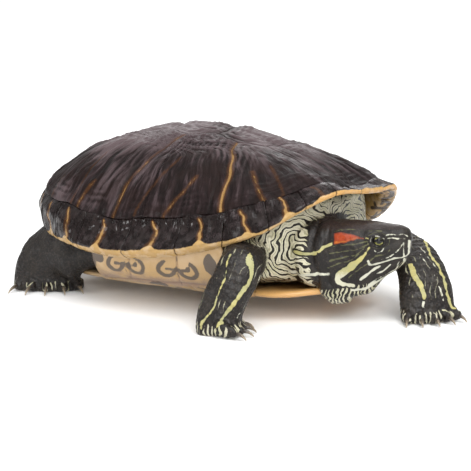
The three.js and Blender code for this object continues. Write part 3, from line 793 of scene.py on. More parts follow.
def plastron_marks(flat, plan, d):
    """Dark rings by the bridge joints, smoky smears along its foot, blotches on the flat plates."""
    wander = layers(flat / 4.5, 2, 81)
    x, y, z = plan[:, 0], plan[:, 1], flat[:, 2]
    dark = np.full(len(flat), FAR)
    # Rings each side of a joint; the slope is measured by height.
    for centre, lean in ((-9.5, 0.26), (21.5, 0.26), (53.0, 0.2)):
        near = y - centre + (z - 11) * lean
        dark = np.minimum(dark, belly_rings(near, (z - 12.2) * 0.92, wander))
        dark = np.minimum(dark, np.abs(near) - 0.3 + 4 * smooth(2.6, 0.5, z))
    dark = np.where(x > 51.0, dark, FAR)
    for centre in (-30, 38.5):
        smear = np.hypot(y - centre, (z - 16) * 0.8) - 4 + wander * 1.2
        dark = np.minimum(dark, np.where(x > 50, smear, FAR))
    # Smears below the bridge joint, and a broken ring on each flat plate.
    for cx, centre, long in ((50.5, 8, 5.0), (47.5, -2, 6.0), (49.5, -22, 4.0), (46.0, -30, 4.0)):
        smear = np.hypot((y - centre + 0.4 * (x - cx)) / long, (x - cx) / 0.9) - 1.6 + wander * 1.3
        dark = np.minimum(dark, smear * 0.9 + 0.1)
    for cx, cy in ((9, -72), (18, -52), (22, -27), (24, 8), (22, 45), (14, 73)):
        blot = np.abs(np.hypot((x - cx) / 1.25, y - cy) - 6 + 1.6 * wander) - 1.0
        dark = np.minimum(dark, blot)
    # low is small at the foot of the bridges, where painted shade with a rose tint lies near the floor.
    low = z + 2.5 * wander + 9 * smooth(53, 47, x)
    return {"joint": d, "dark": dark, "low": low, "orange": smooth(-30, -58, y)}


# ------------------------------------------------------------------ the flesh
class Limb:
    """A body lofted along a smooth line; the same forms as the solids."""

    def __init__(self, stations, up, power=2.2, samples=96):
        self.rows = np.array([[*s[:3], s[3], s[4], s[5] if len(s) > 5 else s[4]] for s in stations], float)
        self.power = power
        knots = self.rows[:, :3]
        gaps = np.maximum(np.sqrt(np.linalg.norm(np.diff(knots, axis=0), axis=1)), 1e-6)
        u = np.linspace(0, 1, samples + 1)
        at = u * (len(knots) - 1)
        i = np.minimum(at.astype(int), len(knots) - 2)
        f = at - i
        padded = np.vstack([2 * knots[0] - knots[1], knots, 2 * knots[-1] - knots[-2]])
        gap = np.concatenate([[gaps[0]], gaps, [gaps[-1]]])
        p0, p1, p2, p3 = padded[i], padded[i + 1], padded[i + 2], padded[i + 3]
        d0, d1, d2 = gap[i][:, None], gap[i + 1][:, None], gap[i + 2][:, None]
        t1 = ((p1 - p0) / d0 - (p2 - p0) / (d0 + d1) + (p2 - p1) / d1) * d1
        t2 = ((p2 - p1) / d1 - (p3 - p1) / (d1 + d2) + (p3 - p2) / d2) * d1
        f_ = f[:, None]
        self.centre = (p1 + t1 * f_ + (-3 * p1 + 3 * p2 - 2 * t1 - t2) * f_ ** 2
                       + (2 * p1 - 2 * p2 + t1 + t2) * f_ ** 3)
        self.dir = unit(np.gradient(self.centre, axis=0))
        self.side = unit(np.cross(self.dir, np.asarray(up, float)))
        self.high = np.cross(self.side, self.dir)
        blend = (0.5 * f + 0.5 * f * f * (3 - 2 * f))[:, None]
        self.size = self.rows[i, 3:] * (1 - blend) + self.rows[i + 1, 3:] * blend
        steps = np.linalg.norm(np.diff(self.centre, axis=0), axis=1)
        self.length = np.concatenate([[0], np.cumsum(steps)])
        self.radius = self.size[:, :2].mean()

    def mesh(self, sides=40, grow=0.0):
        """Points and faces of the closed body."""
        a = 2 * math.pi * np.arange(sides) / sides
        c, s = spow(np.cos(a), 2 / self.power), spow(np.sin(a), 2 / self.power)
        size = self.size + grow
        tall = np.where(s > 0, size[:, 1:2], size[:, 2:3])
        ring = (self.centre[:, None] + self.side[:, None] * (size[:, :1] * c)[:, :, None]
                + self.high[:, None] * (tall * s)[:, :, None])
        return tube(ring)

    def unwrap(self, p):
        """For each point: length along the line, angle round it, distance from it over its size."""
        length, angle, ratio = np.zeros(len(p)), np.zeros(len(p)), np.zeros(len(p))
        for start in range(0, len(p), 20000):
            q = p[start:start + 20000]
            i = np.argmin(((q[:, None] - self.centre[None]) ** 2).sum(2), axis=1)
            v = q - self.centre[i]
            along, out, up = ((v * axis[i]).sum(1) for axis in (self.dir, self.side, self.high))
            size = self.size[i]
            tall = np.where(up > 0, size[:, 1], size[:, 2])
            part = slice(start, start + len(q))
            length[part] = self.length[i] + along
            angle[part] = np.arctan2(up, out)
            ratio[part] = np.hypot(out / size[:, 0], up / tall)
            past = np.where((i == 0) & (along < 0) | (i == len(self.centre) - 1) & (along > 0), abs(along), 0)
            ratio[part] += past / 10
        return length, angle, ratio

    def flat(self, p):
        """Points to (length along, arc round) in millimetres, for marks that follow the surface."""
        length, angle, _ = self.unwrap(p)
        return np.stack([length, angle * self.radius], 1)


def tube(rings):
    """Points and faces of a closed skin over rings of equal count."""
    n, m = rings.shape[:2]
    points = np.vstack([rings.reshape(-1, 3), rings[0].mean(0)[None], rings[-1].mean(0)[None]])
    j = np.arange(m)
    k = (j + 1) % m
    faces = []
    for i in range(n - 1):
        faces += np.stack([i * m + j, i * m + k, (i + 1) * m + k, (i + 1) * m + j], 1).tolist()
    faces += np.stack([np.full(m, n * m), k, j], 1).tolist()
    faces += np.stack([np.full(m, n * m + 1), (n - 1) * m + j, (n - 1) * m + k], 1).tolist()
    return points, faces


def on_head(back, side, high):
    """The working point so far back from the snout, to the left and above the head's axis."""
    return HEAD_AT - HEAD_DIR * back + HEAD_SIDE * side + HEAD_UP * high


def head_frame(p):
    """Working points to (back from the snout, to the left, above the axis)."""
    v = p - HEAD_AT
    return -(v @ HEAD_DIR), v @ HEAD_SIDE, v @ HEAD_UP


LIMBS = {
    "head": Limb([[*on_head(back, 0, -drop), *size] for back, *size, drop in HEAD], HEAD_UP, 2.25),
    "neck": Limb(NECK, (0, 0, 1)),
    "arm_right": Limb(ARM_RIGHT, (-0.8, -0.5, 0.6)),
    "arm_left": Limb(ARM_LEFT, (-0.5, -0.6, 0.7)),
    "thigh_right": Limb(THIGH_RIGHT, (-0.8, -0.5, 0.6)),
    "thigh_left": Limb(THIGH_LEFT, (0.8, 0.3, 0.6)),
    "tail": Limb(TAIL, (0, 0, 1)),
}


def trunk_mesh():
    """The body wall inside the shell, drawn in between the carapace and the plastron."""
    t = np.linspace(-math.pi, math.pi, 97)[:-1]
    e, s = rim(t), seam(t)
    c = np.cos(t)
    rings = []
    for r in (0.1, 0.3, 0.5, 0.7, 0.87):
        p = dome(t, np.full(len(t), r))
        p[:, :2] *= 1 - UNDER_SHELL / 72  # as far in as down, where it is 72 mm out
        rings.append(p - [0, 0, UNDER_SHELL])
    walls = [(0.81, s[:, 2] - 7.5), (0.82, s[:, 2] * 0.55 + 2)]
    for k, lift in ((0.74, 0.8), (0.6, 0.12), (0.2, 0.0)):
        walls.append((k * (1 - 0.02 * clamp(c)), 5 + lift * (5 + np.sin(t) ** 6 * 9)))
    rings += [np.stack([e[:, 0] * k, e[:, 1] * k, z], 1) for k, z in walls]
    points, faces = tube(np.array(rings))
    return shell_to_model(points) / MM - SHIFT, faces


def toe_lines(foot):
    """For each toe: its start on the floor plan, its direction and its length."""
    heading, spread = math.radians(foot["heading"]), math.radians(foot["spread"])
    out = []
    for i in range(TOES):
        k = i / (TOES - 1) - 0.5
        across = -k * foot["wide"] * 1.55
        start = np.array(foot["palm"]) + np.array([math.sin(heading), -math.cos(heading)]) * across
        step = np.array([math.cos(heading + k * spread), math.sin(heading + k * spread)])
        out.append((start, step, foot["reach"] * (1 - 0.9 * k * k)))
    return out


def toe_body(start, step, stations, samples):
    """A body along a toe, through stations of [distance along it, height, half-width, half-height]."""
    return Limb([[*(start + step * d), *rest] for d, *rest in stations], (0, 0, 1), 2.0, samples)


def foot_meshes(name, foot):
    """Toes and the web between them."""
    parts, low, high = [], [], []
    web = 0.86 if name.startswith("hind") else 0.62  # reach of the web, over the toe's length
    palm = np.array(foot["palm"])
    for start, step, long in toe_lines(foot):
        parts.append(toe_body(start, step, [[-1, 5.4, 3.1, 3.5], [long * 0.45, 4.6, 2.6, 3.0],
                                            [long * 0.8, 3.4, 2.35, 2.6], [long + 0.2, 2.3, 1.9, 2.0]],
                              16).mesh(20))
        low.append([[*(start + step * long * web * f), WEB_LOW] for f in (0, 0.5, 1)])
        high.append([[*(start + step * long * web * f), z] for f, z in ((0, 5.0), (0.5, 4.0), (1, 2.5))])
    low, high = np.array(low), np.array(high)
    for i in range(TOES - 1):
        middle, top = (low[i] + low[i + 1]) / 2, (high[i] + high[i + 1]) / 2
        middle[2, :2] = palm + (middle[2, :2] - palm) * WEB_IN
        top[:, :2], top[:, 2] = middle[:, :2], top[:, 2] * WEB_IN
        rings = [(low[i], high[i]), (middle, top), (low[i + 1], high[i + 1])]
        parts.append(tube(np.array([np.vstack([a, b[::-1]]) for a, b in rings])))
    return parts


def join_meshes(parts):
    """One set of points and faces from several."""
    points, faces, base = [], [], 0
    for p, f in parts:
        points.append(p)
        faces += [[i + base for i in face] for face in f]
        base += len(p)
    return np.vstack(points), faces


def positions(mesh):
    """Places of a mesh's vertices, in working millimetres."""
    co = np.empty(len(mesh.vertices) * 3)
    mesh.vertices.foreach_get("co", co)
    return co.reshape(-1, 3) / MM - SHIFT


def set_positions(mesh, p):
    """Moves a mesh's vertices to working points."""
    mesh.vertices.foreach_set("co", ((p + SHIFT) * MM).ravel())
    mesh.update()


def point_normals(mesh):
    """Normals at a mesh's vertices, as Blender has them."""
    n = np.empty(len(mesh.vertices) * 3)
    mesh.vertex_normals.foreach_get("vector", n)
    return n.reshape(-1, 3)


def select_where(obj, chosen):
    """In edit mode, exactly the faces whose vertices are all chosen are selected."""
    mesh = obj.data
    activate(obj)
    bpy.ops.object.mode_set(mode="EDIT")
    bpy.ops.mesh.select_mode(type="FACE")
    bpy.ops.mesh.select_all(action="DESELECT")
    bpy.ops.object.mode_set(mode="OBJECT")
    hit = [all(chosen[v] for v in poly.vertices) for poly in mesh.polygons]
    mesh.polygons.foreach_set("select", hit)
    bpy.ops.object.mode_set(mode="EDIT")


def relax(obj, rounds):
    """Evens out a mesh, halfway to the mean of the neighbours in each round."""
    mod = obj.modifiers.new("relax", "SMOOTH")
    mod.factor, mod.iterations = 0.5, rounds
    activate(obj)
    bpy.ops.object.modifier_apply(modifier=mod.name)


def build_skin(material, voxel):
    """One skin over all the flesh: the lofted bodies joined, remeshed, refined and carved."""
    parts = [limb.mesh() for limb in LIMBS.values()] + [trunk_mesh()]
    for name, foot in FEET.items():
        parts += foot_meshes(name, foot)
    points, faces = join_meshes(parts)
    skin = make_piece("skin", flesh_to_model(points), faces, material, {}, FLESH)
    skin.data.remesh_voxel_size = voxel * MM
    skin.data.remesh_voxel_adaptivity = 0
    activate(skin)
    bpy.ops.object.voxel_remesh()
    relax(skin, 7)
    thin_hidden(skin)
    refine(skin, near_detail)
    relax(skin, 2)
    refine(skin, near_eyes)
    mesh = skin.data
    set_positions(mesh, hang_throat(positions(mesh)))
    at = OnSkin(positions(mesh))
    set_positions(mesh, carve(at, point_normals(mesh)))
    mesh.shade_smooth()
    set_values(mesh, skin_marks(at))
    return skin


def refine(obj, chooser):
    """Halves the edges of the faces that the chooser picks."""
    select_where(obj, chooser(positions(obj.data)))
    bpy.ops.mesh.subdivide(number_cuts=1, smoothness=0)
    bpy.ops.object.mode_set(mode="OBJECT")


def thin_hidden(obj):
    """Few faces where the shell hides the skin."""
    q = to_shell(positions(obj.data))
    hidden = (np.abs(q[:, 1] - 3) < 31) & (q[:, 2] > 4) & (np.abs(q[:, 0]) < 58)
    hidden |= (q[:, 2] > 52) & (q[:, 1] > -60) & (q[:, 1] < 75)
    select_where(obj, hidden)
    bpy.ops.mesh.decimate(ratio=0.08)
    bpy.ops.object.mode_set(mode="OBJECT")


def near_detail(p):
    """The head, the near neck, the forelegs and all the feet."""
    back, _, _ = head_frame(p)
    chosen = back < 44
    for key in ("arm_right", "arm_left"):
        length, _, ratio = LIMBS[key].unwrap(p)
        chosen |= (ratio < 1.5) & (length > 16)
    chosen |= (p[:, 2] < 12) & (p[:, 1] > 60)
    return chosen


def near_eyes(p):
    """The lids."""
    back, side, high = head_frame(p)
    return (np.hypot(back - EYE_BACK, high - EYE_HIGH) < 5.6) & (np.abs(side) > 4)


# ------------------------------------------------------------------ carving the skin
MOUTH = [(-0.5, -5.4), (3, -7.1), (7.5, -7.8), (12, -9.1), (16.6, -10.3), (19.6, -9.4)]


class OnSkin:
    """Points of the skin, with where each lies on the head, along each limb and round each foot."""

    def __init__(self, p):
        self.p = p
        self.where = {key: limb.unwrap(p) for key, limb in LIMBS.items()}  # (length, angle, ratio)
        ratio = np.stack([at[2] for at in self.where.values()])
        best = np.argmin(ratio, axis=0)
        self.part = {key: (best == i) & (ratio[i] < 1.35) for i, key in enumerate(LIMBS)}
        self.trunk = ~np.any(np.stack(list(self.part.values())), axis=0)
        self.back, self.side, self.high = head_frame(p)
        self.feet = {}
        for name, foot in FEET.items():
            x, y = (p[:, :2] - np.array(foot["palm"])).T
            self.feet[name] = np.hypot(x, y), np.arctan2(y, x)


def scale_relief(length, arc, size, seed):
    """Small scales: rounded cells with grooves between them."""
    near, second = cells(np.stack([length / size, arc / size, np.full(len(length), 0.5)], 1), seed)
    return -0.30 * smooth(0.2, 0.0, second - near) + 0.14 * (0.6 - near)


def lapped_relief(length, arc, row_long, wide):
    """Broad scales in rows, each lifting at its free edge over the next."""
    step = length / row_long
    f = (arc / wide + 0.5 * (np.floor(step) % 2)) % 1 - 0.5
    lift = (step + 1.1 * f * f) % 1
    return 0.62 * lift ** 2.2 * (1 - (2 * np.abs(f)) ** 6) - 0.15


def carve(at, n):
    """Moves points of the skin along their normals, and opens the lids."""
    p, where = at.p, at.where
    move = 0.05 * layers(p / 1.3, 2, 101) + 0.16 * noise(p / 3.1, 103)
    head = smooth(1.32, 1.15, where["head"][2]) * smooth(43, 36, at.back)
    move += head * head_relief(at)
    move += neck_relief(at, 1 - head)
    for key in LIMBS:
        if key not in ("head", "neck"):
            move += at.part[key] * leg_relief(at, key)
    # Trunk wall: soft folds.
    move += at.trunk * (0.7 * layers(p / 10, 2, 131) + 0.10 * layers(p / 2.2, 2, 133))
    # Toes: cross bands above.
    for away, _ in at.feet.values():
        on = smooth(8.5, 6.5, p[:, 2]) * smooth(6, 8, away) * smooth(26, 22, away)
        move += on * (-0.32 * bump((away % 2.3) - 1.15, 0.45) + 0.1)
    move *= smooth(0.0, 1.6, p[:, 2])
    p = open_lids(p + n * move[:, None])
    p[:, 2] = np.maximum(p[:, 2], 0.0)
    return p


def head_relief(at):
    """Lips, brow, cheek, ear drum, nostrils, and the creases under the throat."""
    p, back, side, high = at.p, at.back, at.side, at.high
    s, bh = np.abs(side), np.stack([back, high], 1)
    lip = to_line(bh, spline(MOUTH, 5))
    mouth_high = np.interp(back, [m[0] for m in MOUTH], [m[1] for m in MOUTH])
    short = smooth(20.5, 18.5, back)
    form = -0.75 * bump(lip, 0.42) * short
    form += 0.30 * bump(high - mouth_high - 1.3, 0.9) * short
    form += -0.45 * smooth(0.0, 1.2, mouth_high - high) * smooth(9, 3, mouth_high - high) * short
    brow = to_line(bh, [(10.5, 5.0), (15, 6.3), (19.5, 5.6)])
    form += 0.75 * bump(brow, 1.5) * smooth(4, 7, s)
    form += -0.55 * bump(to_line(bh, [(6.5, 1.6), (9.5, 0.8)]), 1.9)
    form += 0.7 * bump(np.hypot(back - 24, high + 5), 6)
    drum = np.hypot(back - 29.5, (high + 3.2) * 1.1)
    form += -0.45 * smooth(4.0, 3.2, drum) + 0.3 * bump(drum - 4.4, 0.8)
    nose = np.linalg.norm(np.stack([back - 0.9, s - 1.35, high - 1.5], 1), axis=1)
    form += -0.95 * bump(nose, 0.62) + 0.25 * bump(nose - 1.2, 0.5)
    near, second = cells(np.stack([back, high, side], 1) / 1.7, 107)
    form += -0.10 * smooth(0.18, 0, second - near) * smooth(14, 20, back)
    crease = smooth(20, 26, back) * smooth(-9, -14, high)
    return form - 0.45 * crease * bump(((back + 1.2 * noise(p / 5, 109)) % 2.7) - 1.35, 0.55)


def neck_relief(at, bare):
    """Loose rings behind the head, then soft skin, where the head's own forms leave off."""
    p, (length, angle, ratio) = at.p, at.where["neck"]
    fold = (length + 2.0 * noise(p / 8, 111) + 1.2 * np.sin(angle * 2)) % 5.6 - 2.8
    form = smooth(34, 22, length) * (0.55 - 1.15 * bump(fold, 0.9))
    form += 0.4 * bare * smooth(-38, -46, p[:, 1]) * layers(p / 7, 2, 113)
    return bare * smooth(1.35, 1.15, ratio) * form


def leg_relief(at, key):
    """Small scales, and broad lapped ones down the front of each foreleg."""
    limb, (length, angle, _) = LIMBS[key], at.where[key]
    arc = angle * limb.radius
    relief = scale_relief(length, arc, 1.9 if key != "tail" else 1.5, 121)
    if key.startswith("arm"):
        face = smooth(0.15, 0.5, np.sin(angle)) * smooth(0.42, 0.55, length / limb.length[-1])
        relief = relief * (1 - face) + face * lapped_relief(length, arc, 3.1, 4.6)
    return (relief + 0.45 * layers(at.p / 8, 2, 127)) * smooth(0, 3, length)


def hang_throat(p):
    """The loose throat hangs below the jaw in a fold."""
    back, _, high = head_frame(p)
    near = np.minimum(LIMBS["head"].unwrap(p)[2], LIMBS["neck"].unwrap(p)[2])
    sag = 6.5 * smooth(-10, -21, high) * smooth(10, 20, back) * smooth(47, 38, back) * smooth(1.5, 1.2, near)
    return p - np.outer(sag, HEAD_UP)


def open_lids(p):
    """Opens the lids round each eye: the skin dips behind the eyeball inside the opening."""
    back, side, high = head_frame(p)
    for sign in (1, -1):
        db, dh, s = back - EYE_BACK, high - EYE_HIGH, side * sign
        oval = np.hypot(db / LID_LONG, (dh - 0.12 * db) / LID_HIGH)
        flat = np.minimum(np.hypot(db, dh), EYE_RADIUS)
        ball = EYE_OUT + np.sqrt(np.maximum(EYE_RADIUS ** 2 - flat ** 2, 0))
        near = (s > 3) & (oval < 2.6)
        hole, lid = ball - 1.1, ball + 0.42
        want = np.where(oval < 1, hole, lid)
        blend = smooth(2.3, 1.22, oval)
        ridge = 0.28 * bump(oval - 1.5, 0.16) - 0.3 * bump(oval - 1.95, 0.2)
        raised = np.maximum(s, s * (1 - blend) + want * blend) + ridge
        new = np.where(oval < 1, hole, raised)
        side = np.where(near, sign * new, side)
    return HEAD_AT - np.outer(back, HEAD_DIR) + np.outer(side, HEAD_SIDE) + np.outer(high, HEAD_UP)


# ------------------------------------------------------------------ marks of the skin
# Lines on the side of the head as (back from the snout, above the axis), with their half-widths.
YELLOW_HEAD = [
    ([(19, -1), (20.6, -3.2), (23, -6.4), (26.6, -9.4), (30.4, -12.6), (33.6, -14.6)], 0.35, 1.75),
    ([(33.6, -14.6), (34.6, -17), (32, -19.4), (27.5, -20.6)], 1.3, 0.9),
    ([(22.9, 3.7), (19.6, 3.3)], 0.45, 0.3),
    ([(36.5, 1.2), (40.5, -0.6), (44, -3.4), (50, -4.8), (56, -4)], 0.55, 0.8),
]
PALE_HEAD = [
    ([(0.9, 1.2), (0.9, -2.2), (1.6, -5.2), (4, -6.3), (7.3, -6.7), (11.5, -8.2), (15.6, -9.4), (18.6, -9.6),
      (19.9, -7.4)], 0.41, 0.52),
    ([(3, 0.6), (5.9, -2.9), (9.6, -5.7), (13.6, -7.2)], 0.18, 0.22),
    ([(3, 0.6), (3.4, -5.6)], 0.16, 0.16),
    ([(3, -7.6), (3.2, -11), (4.6, -14.2), (7.6, -17.4)], 0.45, 0.40),
    ([(5.2, -8.8), (7, -12.4), (9.4, -15.6)], 0.18, 0.22),
    ([(14.2, -10.7), (17.4, -12.6), (20.8, -15.4), (23.6, -17.4)], 0.41, 0.68),
    ([(9.6, -10.4), (12.4, -13.2), (15.6, -14.6)], 0.25, 0.29),
    ([(8.6, -16.6), (12.6, -17.4), (17.5, -19.4), (22, -22.4), (28, -23)], 0.41, 0.58),
    ([(7.6, -13.2), (12, -15.6), (16.4, -17.6), (20.4, -20.4)], 0.20, 0.22),
    ([(10.6, 2.8), (6.4, 3), (2.6, 2.2)], 0.16, 0.16),
    ([(11.4, 4.2), (7, 4.6), (3.5, 4.4), (1.6, 3.4)], 0.13, 0.14),
    ([(12.4, -1.6), (13.4, -3.2), (15.4, -3.6), (16.6, -2.6)], 0.20, 0.25),
    ([(38.5, -13.8), (44, -14.6), (52, -15.4), (60, -14.2)], 0.57, 0.65),
]
# Dull olive lines of the cheek.
OLIVE_HEAD = [
    ([(19.6, 2.2), (25, 1.2), (31, 0.6), (38, -0.4)], 0.15, 0.26),
    ([(19.4, 0.8), (25, -1.4), (30, -2.6), (38, -4)], 0.15, 0.28),
    ([(21.6, -1.2), (26, -4.4), (31, -5.6), (38, -7.6)], 0.14, 0.28),
    ([(24, -3.6), (28, -7), (33, -8.6), (39, -10.6)], 0.14, 0.26),
    ([(13.6, -5), (17.5, -6.6), (21.5, -9.8), (25, -12.6), (29.4, -16.4)], 0.12, 0.26),
    ([(9.6, -2), (12, -4.6), (16.5, -5.4)], 0.11, 0.16),
    ([(13.6, 6.6), (20, 6.6), (28, 7.6), (36, 6.6)], 0.12, 0.16),
]
RED_HEAD = [(35.6, 3.2), (31, 3.8), (26, 3.9), (21.8, 3.6)]
# Stripes of the legs as working points near the surface, with half-widths: yellow, then pale.
YELLOW_LEGS = {
    "arm_right": [([(-62, -54, 37), (-64, -57, 31), (-67, -57, 25), (-71, -55, 20), (-74, -52, 14),
                    (-80, -49, 6)], 0.85),
                  ([(-66, -47, 37), (-69, -47, 33.5), (-72, -48, 27), (-75, -46, 20), (-78, -44, 13),
                    (-81, -39, 4)], 0.42)],
    "arm_left": [([(29.5, -100.4, 34.6), (20.1, -108.8, 31), (17.1, -114.5, 26.3), (13.8, -119.8, 20.1),
                   (11.6, -122.8, 14.4), (11, -124, 7)], 0.72),
                 ([(6.8, -105, 26.6), (4.5, -107.6, 23.8), (3.1, -111, 20.8), (2, -113.6, 17.4),
                   (0.8, -115.8, 13.6)], 1.25)],
    "thigh_left": [([(56, 58, 30), (64, 70, 26), (70, 80, 15), (71, 86, 8)], 0.5)],
}
PALE_LEGS = {
    "arm_right": [([(-59, -58, 28), (-62, -57, 20), (-66, -54, 11)], 0.3),
                  ([(-56, -56, 24), (-60, -55, 16), (-64, -52, 7)], 0.3),
                  ([(-66, -56, 16), (-71, -52, 9)], 0.28)],
    "arm_left": [([(15, -106, 30.5), (12, -112, 26), (9.5, -117, 18), (8, -120, 10)], 0.26),
                 ([(19, -104, 32.5), (15.5, -112, 28), (12.5, -118, 18), (9.5, -121, 9)], 0.24),
                 ([(0.4, -116.2, 11.6), (-0.6, -116.4, 9.4)], 0.85)],
    "thigh_left": [([(50, 62, 33), (58, 76, 27), (62, 92, 12)], 0.25)],
}
LINE_PERIOD = 2.55


def tapered(points, marks, wander):
    """Signed distance to lines that widen from their first half-width to their second."""
    out = np.full(len(points), FAR)
    for line, thin, wide in marks:
        line = spline(line, 5)
        run = line[-1] - line[0]
        axis = int(np.argmax(abs(run)))
        f = clamp((points[:, axis] - line[0][axis]) / run[axis])
        out = np.minimum(out, to_line(points, line) - (thin + (wide - thin) * smooth(0, 0.6, f)) + wander)
    return out


def to_stripe(limb, flat, line):
    """Distance along a leg's surface to a stripe; the arc round the leg closes on itself."""
    line = limb.flat(np.array(line, float))
    turn = 2 * math.pi * limb.radius
    line[:, 1] = np.unwrap(line[:, 1], period=turn)
    line = spline(line, 5)
    return np.min([to_line(flat + [0, turn * k], line) for k in (-1, 0, 1)], axis=0)


def skin_marks(at):
    """What the skin's material reads: signed distances to its stripes, and masks from 0 to 1."""
    p, back, high = at.p, at.back, at.high
    drift = 0.55 * noise(p / 5, 205)
    head = smooth(1.6, 1.45, at.where["head"][2]) * smooth(45, 41, back)
    face = (head > 0.5) | ((at.where["neck"][2] < 1.5) & (back < 60) & (back > 30))
    marks = broad_stripes(at, head > 0.5, face, drift)
    phase, lines = fine_lines(at, head, drift)
    # The lines of the legs end above an uneven height, where those of the toes begin.
    ankle = 8.6 + 1.2 * noise(p / 3, 229)
    for key in ("arm_right", "arm_left", "thigh_right", "thigh_left", "tail"):
        value, level, start = leg_lines(at, key)
        level = level - 0.7 * smooth(ankle + 3.4, ankle + 0.4, p[:, 2])
        mine = at.part[key] & ~face
        phase = np.where(mine & start, value, phase)
        lines = np.where(mine & start, level, lines)
    pink, footed = np.zeros(len(p)), np.zeros(len(p), bool)
    for name, (away, turn) in at.feet.items():
        foot = FEET[name]
        on = smooth(ankle + 0.4, ankle - 0.4, p[:, 2]) * smooth(30, 26, away)
        toe = (turn - math.radians(foot["heading"]) + math.pi) % (2 * math.pi) - math.pi
        gap = math.radians(foot["spread"]) / (TOES - 1)
        value = (toe / gap) * LINE_PERIOD + LINE_PERIOD * 0.25 + 0.8 * noise(p / 3, 219)
        level = (0.52 if name.startswith("fore") else 0.38) + 0.18 * noise(p / 3.5, 231)
        level -= 0.8 * smooth(ankle - 3.2, ankle - 0.5, p[:, 2])
        phase, lines = np.where(on > 0.5, value, phase), np.where(on > 0.5, level, lines)
        pink = np.maximum(pink, on * smooth(0.6, 0.1, p[:, 2]) * 0.4)
        footed |= away < 26
    rear = smooth(34, 46, p[:, 1]) * at.trunk * ~footed
    marks.update(
        phase=phase, lines=np.where(rear > 0.5, 0.25, lines), head=head,
        pink=np.maximum(pink, rear * smooth(30, 22, p[:, 2]) * 0.7),
        # crown: painted sheen on the top of the head.
        crown=head * smooth(6.0, 8.4, high), soft=head * smooth(-11, -17, high))
    return marks


def broad_stripes(at, on_head, face, drift):
    """Signed distances to the red patch and the broad, pale and olive stripes of head and legs."""
    p, back, high, s = at.p, at.back, at.high, np.abs(at.side)
    wander = 0.30 * noise(p / 1.9, 201) + 0.12 * noise(p / 0.9, 203)
    bh, sway = np.stack([back, high], 1), np.stack([0 * drift, drift], 1)
    red_wide = 0.15 + 2.35 * smooth(21.0, 33.5, back)
    red = np.maximum(to_line(bh, spline(RED_HEAD, 5)) - red_wide, back - 35.9) + wander
    on_side = face & ((s > 2.2) | (back < 3))
    out = {
        "red": np.where(on_head & (s > 4), red, FAR),
        "yellow": np.where(on_side, tapered(bh + sway, YELLOW_HEAD, wander), FAR),
        "pale": np.where(on_side, tapered(bh + sway, PALE_HEAD, wander * 0.7), FAR),
        "olive": np.where(on_head & (s > 3), tapered(bh + sway, OLIVE_HEAD, wander * 0.8), FAR),
        "ember": smooth(1.5, 0.3, high - 3.6 + red_wide + 0.5 * drift),  # the foot of the red patch
    }
    broken = 0.45 * smooth(-0.1, 0.4, noise(p / 1.2, 239))
    for name, legs, less in (("yellow", YELLOW_LEGS, 0), ("pale", PALE_LEGS, broken)):
        for key, lines in legs.items():
            limb = LIMBS[key]
            flat, near = limb.flat(p) + sway, (at.where[key][2] < 1.6) & ~face
            for line, half in lines:
                d = to_stripe(limb, flat, line) - half * (1 + 0.5 * drift) + wander * 1.3
                out[name] = np.minimum(out[name], np.where(near, d, FAR) + less)
    # Pale lids, and a dull fold round them.
    oval = np.hypot((back - EYE_BACK) / LID_LONG, (high - EYE_HIGH - 0.12 * (back - EYE_BACK)) / LID_HIGH)
    lid = (np.abs(oval - 1.30) - 0.03) * 2.4 + 0.55 * smooth(-0.3, 0.4, noise(p / 1.2, 233)) + 0.4 * wander
    fold = (np.abs(oval - 1.95 - 0.1 * noise(p / 2, 235)) - 0.04) * 2.4
    for name, d in (("pale", lid), ("olive", fold)):
        out[name] = np.where(on_head & (s > 5), np.minimum(out[name], d), out[name])
    return out


def fine_lines(at, head, drift):
    """Phase and breadth of the fine lines: loops on the shoulders, then down the throat and chin."""
    p, back, side, high = at.p, at.back, at.side, at.high
    in_head, in_neck = at.where["head"][2], at.where["neck"][2]
    warp = 2.7 * noise(p / 7.5, 211) + 1.5 * noise(p / 3.6, 213) + 0.4 * noise(p / 1.8, 214)
    right = to_line(p * [0.8, 1, 0.9], [(-24, -62, 33), (-22, -82, 31), (-20, -90, 26)])
    left = to_line(p * [0.8, 1, 0.9], [(8.0, -62, 34), (2, -86, 34)])
    phase = 1.12 * (np.minimum(right, left) + warp)
    lines = 0.88 + 0.12 * noise(p / 6, 221) + 0.12 * smooth(6, 12, high)
    collar = smooth(51, 46.5, back + drift * 3 - 0.12 * high) * smooth(13, 8, high)
    lines *= smooth(-30, -40, p[:, 1]) * (1 - head) * (1 - smooth(1.5, 1.25, in_neck) * collar)
    throat = smooth(-19.0, -21.0, high + 0.10 * (back - 25) + drift) * smooth(13, 18, back)
    throat *= smooth(52, 46, back) * smooth(1.9, 1.6, np.minimum(in_head, in_neck))
    down = back + 1.1 * noise(p / 4, 215) + 0.6 * noise(p / 1.5, 241) + 0.15 * high
    phase = np.where(throat > 0.3, down * 1.4, phase)
    lines = np.maximum(lines * (1 - throat), throat * (0.62 + 0.3 * noise(p / 2.2, 237)))
    chin = (head > 0.5) & (np.abs(side) < 3.4) & (high < -8) & (throat < 0.3)
    phase = np.where(chin, side * 1.1 + 1.2 * noise(p / 4, 216), phase)
    return phase, np.where(chin, 0.66, lines)


def leg_lines(at, key):
    """Phase and breadth of the lines along a leg or the tail, and where they have started."""
    p, (length, angle, _) = at.p, at.where[key]
    # A whole number of lines fits round the limb, so that the pattern closes.
    count = max(3, round(2 * math.pi * LIMBS[key].radius * 0.62 / LINE_PERIOD))
    value = (angle / (2 * math.pi)) * count * LINE_PERIOD + 1.3 * noise(p / 5, 217)
    inner = smooth(0.1, -0.6, np.sin(angle))
    if key.startswith("arm"):
        level = 0.30 + 0.16 * inner + 0.10 * noise(p / 4, 223)
        return value, level, length + 2.5 * noise(p / 4, 225) > 20
    return value, 0.08 + 0.30 * inner + 0.10 * noise(p / 4, 227), length > 9


